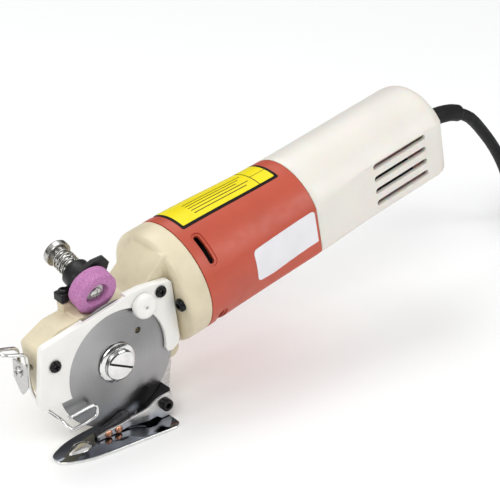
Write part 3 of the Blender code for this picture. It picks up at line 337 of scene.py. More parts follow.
def solid(shape, place=ROW, name="tool"):
    """The bmesh in millimetres as an object in metres, in the row frame."""
    bmesh.ops.recalc_face_normals(shape, faces=shape.faces)
    shape.transform(SCALE @ place)
    mesh = bpy.data.meshes.new(name)
    shape.to_mesh(mesh)
    shape.free()
    return added(name, mesh)


def bake(obj):
    """Applies the object's modifiers to its mesh."""
    bpy.context.view_layer.update()
    graph = bpy.context.evaluated_depsgraph_get()
    mesh = bpy.data.meshes.new_from_object(obj.evaluated_get(graph))
    obj.modifiers.clear()
    obj.data = mesh
    return obj


def carve(obj, tools, operation="DIFFERENCE"):
    for tool in tools:
        modifier = obj.modifiers.new("carve", "BOOLEAN")
        modifier.operation = operation
        modifier.object = tool
        modifier.solver = "EXACT"
    bake(obj)
    for tool in tools:
        bpy.data.objects.remove(tool, do_unlink=True)
    return obj


def piece(obj, name, material, body="housing", nodes=(), smooth=40):
    """The finished object: named, painted, smoothed and riding on its body."""
    obj.name = name
    obj.data.name = name
    obj.data.materials.clear()
    obj.data.materials.append(PAINT[material])
    if obj.type == "MESH":
        obj.data.shade_smooth()
        obj.data.set_sharp_from_angle(angle=math.radians(smooth))
    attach(obj, body)
    if nodes:
        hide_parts(*nodes)
    return obj


def lathe(profile, steps=64, ring=False):
    """A turned shape about +Z. The profile is (radius, along); a ring's profile closes on itself."""
    shape = bmesh.new()
    rows = []
    for radius, along in profile:
        if radius < 1e-6:
            rows.append([shape.verts.new((0, 0, along))] * steps)
            continue
        row = []
        for k in range(steps):
            angle = math.tau * k / steps
            across, up = radius * math.cos(angle), radius * math.sin(angle)
            row.append(shape.verts.new((across, up, along)))
        rows.append(row)
    pairs = list(zip(rows, rows[1:]))
    if ring:
        pairs.append((rows[-1], rows[0]))
    for first, second in pairs:
        for k in range(steps):
            j = (k + 1) % steps
            corners = list(dict.fromkeys((first[k], first[j], second[j], second[k])))
            if len(corners) > 2:
                shape.faces.new(corners)
    return shape


def rounded(corners, radii, segments=5):
    """The outline with its corners turned into arcs."""
    count = len(corners)
    if not isinstance(radii, (list, tuple)):
        radii = [radii] * count
    outline = []
    for i, radius in enumerate(radii):
        here = Vector(corners[i])
        back = (Vector(corners[i - 1]) - here).normalized()
        ahead = (Vector(corners[(i + 1) % count]) - here).normalized()
        half = back.angle(ahead) / 2
        if radius <= 0 or half > math.radians(88):
            outline.append(tuple(here))
            continue
        reach = radius / math.tan(half)
        centre = here + (back + ahead).normalized() * (radius / math.sin(half))
        start = here + back * reach - centre
        sweep = start.angle_signed(here + ahead * reach - centre)
        for k in range(segments + 1):
            angle = sweep * k / segments
            x = start.x * math.cos(angle) + start.y * math.sin(angle)
            y = -start.x * math.sin(angle) + start.y * math.cos(angle)
            outline.append((centre.x + x, centre.y + y))
    return outline


def box(left, low, right, high):
    return [(left, low), (right, low), (right, high), (left, high)]


def arc(centre, radius, first, last, count):
    angles = np.radians(np.linspace(first, last, count))
    return [(centre[0] + radius * math.cos(a), centre[1] + radius * math.sin(a)) for a in angles]


TURN = {
    "XY": Matrix.Identity(4),
    "XZ": Matrix(((1, 0, 0, 0), (0, 0, 1, 0), (0, 1, 0, 0), (0, 0, 0, 1))),
    "YZ": Matrix(((0, 0, 1, 0), (1, 0, 0, 0), (0, 1, 0, 0), (0, 0, 0, 1))),
}


def prism(outlines, low, high, plane, place, edge=0.0):
    """A plate of the outlines, the first outside and the others holes, with rounded edges."""
    curve = bpy.data.curves.new("prism", "CURVE")
    curve.dimensions = "2D"
    curve.fill_mode = "BOTH"
    curve.extrude = (high - low) / 2 - edge
    curve.bevel_depth = edge
    curve.bevel_resolution = 3
    curve.offset = -edge
    for outline in outlines:
        spline = curve.splines.new("POLY")
        spline.points.add(len(outline) - 1)
        for knot, (across, up) in zip(spline.points, outline):
            knot.co = (across, up, 0, 1)
        spline.use_cyclic_u = True
    guide = added("prism", curve)
    graph = bpy.context.evaluated_depsgraph_get()
    mesh = bpy.data.meshes.new_from_object(guide.evaluated_get(graph))
    bpy.data.objects.remove(guide)
    shape = bmesh.new()
    shape.from_mesh(mesh)
    bmesh.ops.remove_doubles(shape, verts=shape.verts, dist=1e-4)
    shape.transform(TURN[plane] @ Matrix.Translation((0, 0, (low + high) / 2)))
    return solid(shape, place)


def loft(rings):
    """A skin over rings with the same number of points, with flat ends."""
    shape = bmesh.new()
    rows = [[shape.verts.new(point) for point in ring] for ring in rings]
    for first, second in zip(rows, rows[1:]):
        for i in range(len(first)):
            j = (i + 1) % len(first)
            shape.faces.new((first[i], first[j], second[j], second[i]))
    shape.faces.new(rows[0])
    shape.faces.new(rows[-1])
    return shape


def smooth_path(knots, spacing, closed=False):
    """Points at about the spacing along a smooth curve through the knots."""
    knots = [Vector(knot) for knot in knots]
    count = len(knots)
    fine = []
    for i in range(count if closed else count - 1):
        if closed:
            a, b, c, d = (knots[(i + k) % count] for k in (-1, 0, 1, 2))
        else:
            b, c = knots[i], knots[i + 1]
            a = knots[i - 1] if i else b * 2 - c
            d = knots[i + 2] if i + 2 < count else c * 2 - b
        for k in range(24):
            u = k / 24
            fine.append(
                0.5 * (2 * b + (c - a) * u + (2 * a - 5 * b + 4 * c - d) * u**2
                + (3 * b - a - 3 * c + d) * u**3)
            )
    fine.append(fine[0] if closed else knots[-1])
    steps = [(q - p).length for p, q in zip(fine, fine[1:])]
    along = np.concatenate([[0], np.cumsum(steps)])
    goals = np.linspace(0, along[-1], max(3, round(along[-1] / spacing) + 1))
    points = np.array(fine)
    found = np.stack([np.interp(goals, along, points[:, k]) for k in range(3)], 1)
    return [Vector(p) for p in (found[:-1] if closed else found)]


def sweep(points, radii, sides=14):
    """A round tube along the points, with a radius at each and flat ends."""
    rings = []
    normal = None
    for i, point in enumerate(points):
        ahead = points[min(i + 1, len(points) - 1)] - points[max(i - 1, 0)]
        ahead.normalize()
        if normal is None:
            normal = ahead.orthogonal().normalized()
        normal = (normal - ahead * normal.dot(ahead)).normalized()
        side = ahead.cross(normal)
        ring = []
        for k in range(sides):
            angle = math.tau * k / sides
            ring.append(point + (normal * math.cos(angle) + side * math.sin(angle)) * radii[i])
        rings.append(ring)
    return loft(rings)


def facing(point, direction, place):
    """A frame whose origin is the point and whose +Z runs along the direction."""
    turn = Vector((0, 0, 1)).rotation_difference(Vector(direction)).to_matrix().to_4x4()
    return place @ Matrix.Translation(point) @ turn


def rod(radius, low, high, place, steps=48):
    return solid(lathe([(0, low), (radius, low), (radius, high), (0, high)], steps), place)


def block(low, high, place):
    shape = bmesh.new()
    middle = [(a + b) / 2 for a, b in zip(low, high)]
    sides = [b - a for a, b in zip(low, high)]
    place_it = Matrix.Translation(middle) @ Matrix.Diagonal((*sides, 1))
    bmesh.ops.create_cube(shape, size=1, matrix=place_it)
    return solid(shape, place)


# ---- mains lead

COIL = (372.0, -12.2)
COIL_R, PITCH, TABLE_Z, PLUG_Z = 45.2, 7.12, 3.8, 21.6
LEAD = (
    (259.9, 19, 94.2), (267.6, 19, 90.1), (274.0, 19, 84.6), (281.0, 19, 77.0), (289.0, 19, 67.6),
    (297.0, 19.2, 56.6), (304.5, 20.2, 45.0), (311.5, 22.2, 33.0), (318.0, 24.8, 22.0), (324.5, 27.7, 13.4),
    (332.5, 30.6, 7.1), (340.0, 32.4, 4.3), (347.0, 32.95, 3.9), (358.0, 33.0, 3.8),
)


def ease(u):
    u = min(max(u, 0.0), 1.0)
    return u * u * (3 - 2 * u)


def polar(radius, round_by, z):
    """A point on the coil, counted clockwise from the side where the lead comes in."""
    angle = math.radians(90 - round_by)
    return (COIL[0] + radius * math.cos(angle), COIL[1] + radius * math.sin(angle), z)


def coil_points():
    """Three turns inwards on the table and three back outwards on top of them, then up to the plug."""
    middle, inner = COIL_R - PITCH, COIL_R - 2 * PITCH
    radius = (COIL_R, middle, inner, inner, middle, COIL_R)
    points = []
    for turn in range(6):
        last = turn == 5
        for k in range(24):
            share = k / 24
            hop = ease((share - 0.55) / 0.45)
            r = radius[turn]
            z = TABLE_Z if turn < 3 else TABLE_Z + PITCH
            if turn == 2:
                r -= 2.7 * math.sin(math.pi * hop)
                z += PITCH * hop
            elif not last:
                r += (radius[turn + 1] - r) * hop
            if last:
                z += (PLUG_Z - z) * ease((share - 0.3) / 0.55)
            points.append(polar(r, share * 360, z))
    return points


def mains_lead():
    points = [Vector(p) for p in smooth_path(LEAD, 5.5)]
    points += [Vector(p) for p in coil_points()]
    points += [
        Vector(polar(r, round_by, PLUG_Z))
        for r, round_by in ((COIL_R, 4), (44.9, 20), (44.3, 35), (43.6, 48))
    ]
    points += [Vector((410.6, 11.0, PLUG_Z)), Vector((410.1, 6.5, PLUG_Z))]
    curve = bpy.data.curves.new("cord", "CURVE")
    curve.dimensions = "3D"
    curve.bevel_depth = CORD_R * MM
    curve.bevel_resolution = 5
    curve.use_fill_caps = True
    spline = curve.splines.new("POLY")
    spline.points.add(len(points) - 1)
    for knot, point in zip(spline.points, points):
        knot.co = (*(point * MM), 1)
    spline.use_smooth = True
    lead = added("mains_cord", curve)
    piece(lead, "mains_cord", "black_rubber", nodes=("cord", "cord_coil"))
    body = plug()


def plug():
    place = Matrix.Translation((COIL[0] + 38, COIL[1], PLUG_Z))
    stations = (
        (-14.0, 11.0, 6.2), (-13.2, 11.8, 6.8), (-11.0, 12.0, 7.0), (4.0, 12.0, 7.0),
        (9.0, 11.4, 6.9), (14.0, 8.2, 6.4), (18.0, 5.8, 5.8), (20.0, 5.2, 5.2), (20.2, 4.9, 4.9),
    )
    rings = []
    for along, wide, tall in stations:
        corner = min(wide, tall) * (0.55 if along < 12 else 0.98)
        outline = rounded(box(-wide, -tall, wide, tall), corner, 6)
        rings.append([(a, along, b) for a, b in outline])
    body = solid(loft(rings), place)
    grips = [
        block((-14, along, low), (14, along + 0.9, high), place)
        for low, high in ((-8, -6.3), (6.3, 8))
        for along in (-6, -3.6, -1.2, 1.2)
    ]
    carve(body, grips)
    piece(body, "plug_body", "black_rubber", nodes=("plug",))
    for k, side in enumerate((-6.5, 6.5)):
        pin = [(0, -13), (2.0, -13), (2.0, -22.5), (2.4, -22.8), (2.4, -30.6), (1.6, -32), (0, -32.2)]
        turn = Matrix.Translation((side, 0, 0)) @ Matrix.Rotation(-math.pi / 2, 4, "X")
        made = piece(solid(lathe(pin, 24), place @ turn), f"plug_pin_{k + 1}", "bright_steel")
        made.parent = body
    return body


mains_lead()


# ---- gearbox


def melt(obj, voxel, passes):
    """Blends the joints of a casting: an even mesh, smoothed."""
    cast = obj.modifiers.new("cast", "REMESH")
    cast.mode = "VOXEL"
    cast.voxel_size = voxel * MM
    soften = obj.modifiers.new("soften", "SMOOTH")
    soften.iterations = passes
    soften.factor = 0.5
    return bake(obj)


def wheel_room():
    return rod(12.4, -6, 10, SHARP, 96)


def turned(profile, steps, x=0, z=0, ring=False):
    """A turned shape about the blade's axis, or a line beside it."""
    return solid(lathe(profile, steps, ring), facing((x, 0, z), (0, 1, 0), BLADE))


def hole(point, direction, radius, low, high, place=BLADE, steps=32):
    return rod(radius, low, high, facing(point, direction, place), steps)


def along_motor(profile, steps=96):
    return solid(lathe(profile, steps), facing((0, 0, 0), (1, 0, 0), MOTOR))


def gearbox_housing():
    head = [
        (-20, 31.2), (-13, 31.4), (4, 29.5), (11, 29.4), (13.6, 30.0), (16, 31.6), (21.2, 36.6),
        (32.2, 47.2), (44, 48), (46, 4), (40, -5), (30, -8), *arc((0, 0), 22, -21, -160, 40), (-21, 0),
    ]
    body = prism([head], 2.3, 27.8, "XZ", BLADE, 0.7)
    shoulder = [(-40, 45), (-40, 16.5), *arc((0, 0), 22, 131.4, 97, 24), (-2.7, 45)]
    carve(body, [prism([shoulder], 17.2, 30, "XZ", BLADE)])
    nose = rounded(
        [(-12, 32), (-31.4, 28.9), (-44.3, 21.6), (-40.5, -7), (-34, -11), (-12, -18)],
        [0, 1.5, 2.5, 4, 3, 0],
    )
    post = [
        [(-21.4, 11.4, 27), (-12.2, 11.4, 27), (-12.2, 17, 27), (-21.4, 17, 27)],
        [(-22.2, 11.8, 35.6), (-13, 11.8, 35.6), (-13, 16.9, 35.6), (-22.2, 16.9, 35.6)],
    ]
    lug = [(0, 4.4), (4.7, 4.4), (5.2, 4.6), (5.4, 5.1), (5.4, 12), (0, 12)]
    shaft = [(0, -21), (6, -21), (7.4, -19.8), (8.1, -18.4), (8.4, -17), (8.4, 40), (0, 40)]
    flange = [
        (0, 38), (28, 38), (29.4, 38.3), (30.5, 39.1), (31.2, 40.2), (31.4, 41.4), (31.4, 51.6),
        (31.15, 51.85), (0, 51.85),
    ]
    parts = [prism([nose], 2.35, 17, "XZ", BLADE, 0.7), solid(loft(post), BLADE)]
    parts += [turned(lug, 40, 37.6, -9), along_motor(shaft), along_motor(flange, 180)]
    carve(body, parts, "UNION")
    bores = [
        (0, -18.6), (5.3, -18.6), (5.3, -11.1), (5.7, -11.1), (5.7, 38.2), (11.3, 38.2),
        (11.3, 46.5), (27.6, 46.5), (27.6, 60), (0, 60),
    ]
    rooms = [(0, 1), (11.5, 1), (11.5, 4.4), (5.8, 4.4), (5.8, 14), (11.2, 14), (11.2, 30), (0, 30)]
    carve(body, [along_motor(bores), turned(rooms, 64), wheel_room()])
    melt(body, 0.45, 1)
    cuts = [hole((x, 31.5, z), (0, -1, 0), 1.5, 3, 8.5) for x, z in ((x, 0) for x in LID_SCREWS)]
    cuts += [hole((37.7, y, z), (1, 0, 0), 1.9, -1, 9.5, MOTOR) for y, z in FLANGE_SCREWS]
    cuts += [hole((x, -2.5, z), (0, 1, 0), 1.9, 2, 10.5) for x, z in COVER_SCREWS]
    cuts.append(hole((*CLAMP_SCREW, 41.3), (0, 0, -1), 1.6, 5, 15))
    cuts.append(hole(CLIP_SCREW, (1, 0, 0), 1.6, 3, 14))
    carve(body, cuts)
    piece(body, "gearbox_casting", "cream_paint", nodes=("gearbox_housing",), smooth=50)


def gearbox_lid():
    profile = [
        (0, 28.1), (15.5, 28.1), (15.5, 30.3), (15.2, 30.9), (14.6, 31.2), (11.4, 31.2), (11.1, 30.9),
        (9.6, 30.9), (9.3, 31.2), (3.2, 31.2), (2.9, 31.0), (0, 31.0),
    ]
    lid = turned(profile, 96)
    carve(lid, [hole((x, 28, 0), (0, 1, 0), 1.5, -3, 6) for x in LID_SCREWS])
    piece(lid, "gearbox_lid", "cream_paint", nodes=("gearbox_cover",))


def screw(
    name, point, direction, head, shank, length, place=BLADE, recess="cross", material="black_steel"
):
    """A pan-head screw: head is its radius and height. Its recess is a cross or a six-sided socket."""
    r, h = head
    profile = [
        (0, -h), (r * 0.55, -h), (r * 0.8, -h * 0.92), (r * 0.94, -h * 0.7), (r, -h * 0.4), (r, 0.13),
        (shank, 0.13), (shank, length - 0.8), (shank * 0.6, length), (0, length),
    ]
    seat = facing(point, direction, place)
    obj = solid(lathe(profile, 48), seat)
    if recess == "cross":
        tools = [
            block((-r * 0.56, -r * 0.13, -h - 1), (r * 0.56, r * 0.13, -h * 0.3), seat),
            block((-r * 0.13, -r * 0.56, -h - 1), (r * 0.13, r * 0.56, -h * 0.3), seat),
        ]
    else:
        tools = [prism([arc((0, 0), r * 0.52, 0, 300, 6)], -h - 1, -h * 0.35, "XY", seat)]
    carve(obj, tools)
    piece(obj, name + "_head", material, nodes=(name,), smooth=35)


def all_screws():
    for k, x in enumerate(LID_SCREWS):
        screw(f"gearbox_screw_{k + 1}", (x, 31.5, 0), (0, -1, 0), (2.2, 1.6), 1.2, 7.5)
    for k, (y, z) in enumerate(FLANGE_SCREWS):
        screw(f"flange_screw_{k + 1}", (37.7, y, z), (1, 0, 0), (3.5, 2.2), 1.6, 8, MOTOR, "socket")
    for name, (x, z) in zip(("front", "rear"), COVER_SCREWS):
        screw(f"cover_screw_{name}", (x, -2.5, z), (0, 1, 0), (3.1, 1.5), 1.6, 9)
    screw("rear_screw", (REAR_SCREW_AT, 0, -20.7), (0, 0, 1), (3.2, 1.6), 1.6, 9, MOTOR)
    screw("sharpener_screw", (*CLAMP_SCREW, 41.3), (0, 0, -1), (2.7, 0.9), 1.3, 13, recess="socket")
    screw("clip_screw", CLIP_SCREW, (1, 0, 0), (2.7, 1.4), 1.3, 12, material="satin_steel")


# ---- blade and its cover


def blade_cover():
    front = [(-28.4, -9), (-45.6, -9.4), (-47.2, -6.6), (-44.3, 24.9), (5, 35.5)]
    rear = [(5.6, 36.4), (15, 37.2), (32, 35.9), (33.9, 34.2), (38.4, 1.0)]
    outline = [
        *rounded(front, [0, 3, 0, 3, 0])[1:], (5.6, 36.4), *rounded(rear, [0, 0, 1, 1, 0])[1:-1],
        (38.4, 1.0), (37.4, -2.4), (34, -4.9), (31, -4.8), *arc((0, 0), 29.6, -5, 197, 120),
    ]
    cover = prism([outline], -2.2, 2.0, "XZ", BLADE, 0.45)
    step = [(-19.5, 20), (-15.2, 34), (5.0, 40), (5.0, 26), (0, 24), (-12, 20)]
    tools = [
        rod(35.8, -0.3, 5, facing((0, 0, 0), (0, 1, 0), BLADE), 180),
        block((-17.2, -0.3, 28), (5.2, 5, 45), BLADE),
        hole((STOPPER[0], 0, STOPPER[1]), (0, 1, 0), 3.3, -4, 1),
        prism([step], -4, -1.55, "XZ", BLADE),
    ]
    for x, z in COVER_SCREWS:
        tools.append(hole((x, 0, z), (0, 1, 0), 1.9, -4, 4))
        tools.append(turned([(0, -3.2), (4.0, -3.2), (3.4, -1.95), (0, -1.95)], 48, x, z))
    carve(cover, tools)
    piece(cover, "blade_guard_cover", "white_nylon", nodes=("blade_cover",), smooth=35)


def cover_plug():
    profile = [
        (0, -5.2), (0.9, -5.2), (0.9, -6.9), (1.3, -7.2), (4.4, -7.2), (5.3, -7.0), (6.0, -6.5), (6.4, -5.7),
        (6.4, -3.0), (6.1, -2.5), (2.9, -2.5), (2.9, -0.6), (0, -0.6),
    ]
    piece(turned(profile, 80, *STOPPER), "cover_knob", "white_nylon", nodes=("cover_plug",))


def round_blade():
    profile = [(3.75, 0), (3.75, 1), (32.4, 1), (35.0, 0.14), (34.9, 0.04), (34.0, 0), (20, 0)]
    blade = turned(profile, 256, ring=True)
    carve(blade, [hole((13.6, 0, 13.2), (0, 1, 0), 1.8, -2, 3)])
    piece(blade, "round_knife", "blade_steel", "blade", nodes=("round_blade",), smooth=20)


def blade_clamp():
    washer = [
        (3.75, -0.3), (10.5, -0.3), (10.7, -0.5), (10.7, -0.9), (10.4, -1.3), (8.8, -2.1), (8.5, -2.15),
        (3.75, -2.15),
    ]
    piece(turned(washer, 128, ring=True), "clamp_washer", "bright_steel", "blade",
          nodes=("blade_washer",), smooth=25)
    nut = [
        (0, -4.9), (6.3, -4.9), (7.1, -4.84), (7.7, -4.62), (8.15, -4.25), (8.3, -3.8),
        (8.3, -2.4), (3.7, -2.4), (3.7, -3.9), (0, -3.9),
    ]
    obj = turned(nut, 128)
    turn = BLADE @ Matrix.Rotation(math.radians(27), 4, "Y")
    carve(obj, [block((-9, -6, -0.6), (9, -4.2, 0.6), turn)])
    piece(obj, "clamp_nut", "bright_steel", "blade", nodes=("blade_nut",), smooth=25)
    # A black sheet on the slot's floor is painted shade: the slot is the nut's own steel and looks dark only
    # from the shade in it
    piece(block((-7.6, -4.5, -0.6), (7.6, -4.15, 0.6), turn), "nut_slot_painted_shade", "black_steel", "blade")


# ---- casings


def casing_share(t):
    return ease((t - SEAM_FRONT) / (SEAM_REAR - SEAM_FRONT))


def line(a, b, count):
    """Points between a and b, without the two ends."""
    return [
        (a[0] + (b[0] - a[0]) * k / (count + 1), a[1] + (b[1] - a[1]) * k / (count + 1))
        for k in range(1, count + 1)
    ]


def section(share, near=FLAT_SIDE):
    """The casing's outline in (across, up): share 0 is the front circle, 1 the rear arch."""
    far_shoulder = math.degrees(math.acos(FLAT_SIDE / ARCH_R))
    near_shoulder = 180 - math.degrees(math.acos(near / ARCH_R))
    low = FLAT_BOTTOM + CORNER_R
    inside = CORNER_R - 0.1
    outline = arc((0, 0), ARCH_R, far_shoulder, near_shoulder, 80)
    outline += line(outline[-1], (-near, low), 12)
    outline += arc((-near + CORNER_R, low), inside, 180, 270, 10)
    outline += line((-near + CORNER_R, FLAT_BOTTOM), (FLAT_SIDE - CORNER_R, FLAT_BOTTOM), 24)
    outline += arc((FLAT_SIDE - CORNER_R, low), inside, 270, 360, 10)
    outline += line((FLAT_SIDE, low), outline[0], 12)
    mixed = []
    for across, up in outline:
        angle = math.atan2(up, across)
        x, y = FLANGE_R * math.cos(angle), FLANGE_R * math.sin(angle)
        mixed.append((x + (across - x) * share, y + (up - y) * share))
    return mixed


def inset(outline, depth):
    count = len(outline)
    result = []
    for i, (across, up) in enumerate(outline):
        along = Vector(outline[(i + 1) % count]) - Vector(outline[i - 1])
        along.normalize()
        result.append((across - along.y * depth, up + along.x * depth))
    return result


def ring_at(t, outline):
    return [(t, across, up) for across, up in outline]


def polar_slot(t, half, first, last, low, high):
    """A tool for a slot with round ends, cut towards the motor's axis between two angles in degrees."""
    rings = []
    middle = (low + high) / 2
    end = math.degrees(half / middle)
    angles = [first + end * (1 - math.cos(k * math.pi / 16)) for k in range(9)]
    angles += [first + end + (last - first - 2 * end) * k / 12 for k in range(1, 12)]
    angles += [last - end * (1 - math.sin(k * math.pi / 16)) for k in range(9)]
    for angle in angles:
        away = max(first + end - angle, angle - (last - end), 0) / end
        w = max(half * math.sqrt(max(1 - away * away, 0)), 0.02)
        a = math.radians(angle)
        c, s = math.cos(a), math.sin(a)
        rings.append([(x, r * c, r * s) for x, r in box(t - w, low, t + w, high)])
    return solid(loft(rings), MOTOR)


SLOT_SPANS = ((119, 150.5), (208, 241), (28, 61), (-61, -28))


def motor_casing():
    stops = [SEAM_FRONT + 0.15, SEAM_FRONT + 0.4, *range(54, 129, 2), SEAM_REAR - 0.15]
    rings = []
    for i, t in enumerate(stops):
        outline = section(casing_share(t))
        rings.append(ring_at(t, inset(outline, 0.22) if i in (0, len(stops) - 1) else outline))
    casing = solid(loft(rings), MOTOR)
    start, end = stops[0], stops[-1]
    places = [(start, -2), (start, 0), *((t, 0) for t in range(58, 128, 6)), (end, 0), (end, 2)]
    inner = [ring_at(t + d, inset(section(casing_share(t)), WALL)) for t, d in places]
    tools = [solid(loft(inner), MOTOR)]
    for first, last in SLOT_SPANS:
        tools.append(polar_slot(60, 1.7, first, last, 24, 36))
        tools.append(polar_slot(60, 3.2, first - 2.6, last + 2.6, 30.55, 36))
    carve(casing, tools)
    piece(casing, "motor_sleeve", "red_plastic", nodes=("motor_casing",), smooth=35)


def near_flat(t):
    """How far out the rear shell's near side stands: it draws in a little up to its vents."""
    return FLAT_SIDE - 1.6 * ease((t - SEAM_REAR) / 44)


def vent(height):
    """A tool for one slot through both sides of the rear shell, with its rims broken."""
    rings = []
    for y, grow in ((-40, 0.5), (-25.2, 0.5), (-24.5, 0), (25.8, 0), (26.6, 0.5), (40, 0.5)):
        half = 1.7 + grow
        outline = box(173.4 - grow, height - half, 212.3 + grow, height + half)
        rings.append([(x, y, z) for x, z in rounded(outline, half * 0.96, 6)])
    return solid(loft(rings), MOTOR)


def rear_shell():
    stops = [SEAM_REAR + 0.15, SEAM_REAR + 0.5, *range(134, 178, 4), 190, 205, 220]
    rings = []
    for i, t in enumerate(stops):
        outline = section(1, near_flat(t))
        rings.append(ring_at(t, outline if i else inset(outline, 0.22)))
    whole = section(1, near_flat(REAR_END))
    for k in range(1, 9):
        angle = math.pi / 2 * k / 8
        depth = 4.8 * (1 - math.cos(angle))
        rings.append(ring_at(REAR_END - 8 * (1 - math.sin(angle)), inset(whole, depth)))
    shell = solid(loft(rings), MOTOR)
    inner = []
    for i, t in enumerate(stops):
        inner.append(ring_at(t if i else t - 2, inset(section(1, near_flat(t)), WALL)))
    inner.append(ring_at(REAR_END - WALL, inset(whole, WALL + 1.6)))
    tools = [solid(loft(inner), MOTOR), *[vent(height) for height in (11.0, 3.4, -4.2, -11.7)]]
    tools.append(block((151.5, 22, -2.2), (171.5, 32, 6.2), MOTOR))
    tools.append(hole((0, 0, 0), (1, 0, 0), 5.7, 215, 234, MOTOR, 48))
    tools.append(hole((REAR_SCREW_AT, 0, FLAT_BOTTOM), (0, 0, 1), 2.0, -2, 6, MOTOR))
    carve(shell, tools)
    piece(shell, "rear_cover", "white_plastic", nodes=("rear_shell",), smooth=35)


def skin(t, angle, lift):
    """A point over the red casing at a polar angle in degrees, in the motor frame."""
    a = math.radians(angle)
    flat = FLAT_SIDE / max(abs(math.cos(a)), 1e-6)
    r = FLANGE_R + (min(ARCH_R, flat) - FLANGE_R) * casing_share(t) + lift
    return Vector((t, r * math.cos(a), r * math.sin(a)))


def near_angle(t, up):
    """The polar angle on the near side where the casing is this high."""
    angle = 180.0
    for _ in range(8):
        r = skin(t, angle, 0).yz.length
        angle = 180 - math.degrees(math.asin(up / r))
    return angle


def sticker(shape, t0, t1, low, high, lift, corner=0.0, thick=0.07):
    """Adds a patch on the casing between two places and two angles, which may change along it."""
    stops = list(np.linspace(t0, t1, max(2, round((t1 - t0) / 1.5) + 1)))
    if corner:
        ends = [corner * (1 - math.cos(math.pi / 2 * k / 6)) for k in range(6)]
        stops = sorted({*stops, *(t0 + e for e in ends), *(t1 - e for e in ends)})
    faces = []
    for t in stops:
        near_end = min(t - t0, t1 - t)
        trim = 0.0
        if corner and near_end < corner:
            trim = corner - math.sqrt(corner**2 - (corner - near_end) ** 2)
        a0, a1 = low(t) + math.degrees(trim / 30), high(t) - math.degrees(trim / 30)
        count = 24
        row = [a0 + (a1 - a0) * k / count for k in range(count + 1)]
        faces.append(
            [skin(t, a, lift) for a in row] + [skin(t, a, lift - thick) for a in reversed(row)]
        )
    patch = loft(faces)
    bmesh.ops.recalc_face_normals(patch, faces=patch.faces)
    held = bpy.data.meshes.new("patch")
    patch.to_mesh(held)
    patch.free()
    shape.from_mesh(held)


def stickers():
    def fixed(angle):
        return lambda t: angle

    border, field, rules = bmesh.new(), bmesh.new(), bmesh.new()
    sticker(border, 57.5, 122.5, fixed(58), fixed(108), 0.14, 1.2)
    piece(solid(border, MOTOR), "top_label_border", "black_print")
    sticker(field, 59.2, 120.8, fixed(60.8), fixed(104.4), 0.2, 0.6)
    piece(solid(field, MOTOR), "top_label", "yellow_label")
    for k in range(5):
        middle = 77.5 + 4.9 * k
        sticker(rules, 70, 108 - 3.0 * (k % 3), fixed(middle - 0.55), fixed(middle + 0.55), 0.24)
    sticker(rules, 110.4, 110.9, fixed(60.6), fixed(104.9), 0.24)
    sticker(rules, 110.9, 121.0, fixed(88), fixed(88.7), 0.24)
    piece(solid(rules, MOTOR), "top_label_rules", "black_print")

    def top(t):
        return near_angle(t, 9.6)

    def bottom(t):
        return near_angle(t, -9.3 - 5.7 * (t - 84) / 44)

    side = bmesh.new()
    sticker(side, 84.0, 128.2, top, bottom, 0.16, 2.6)
    piece(solid(side, MOTOR), "side_label", "white_label")


# ---- sharpener


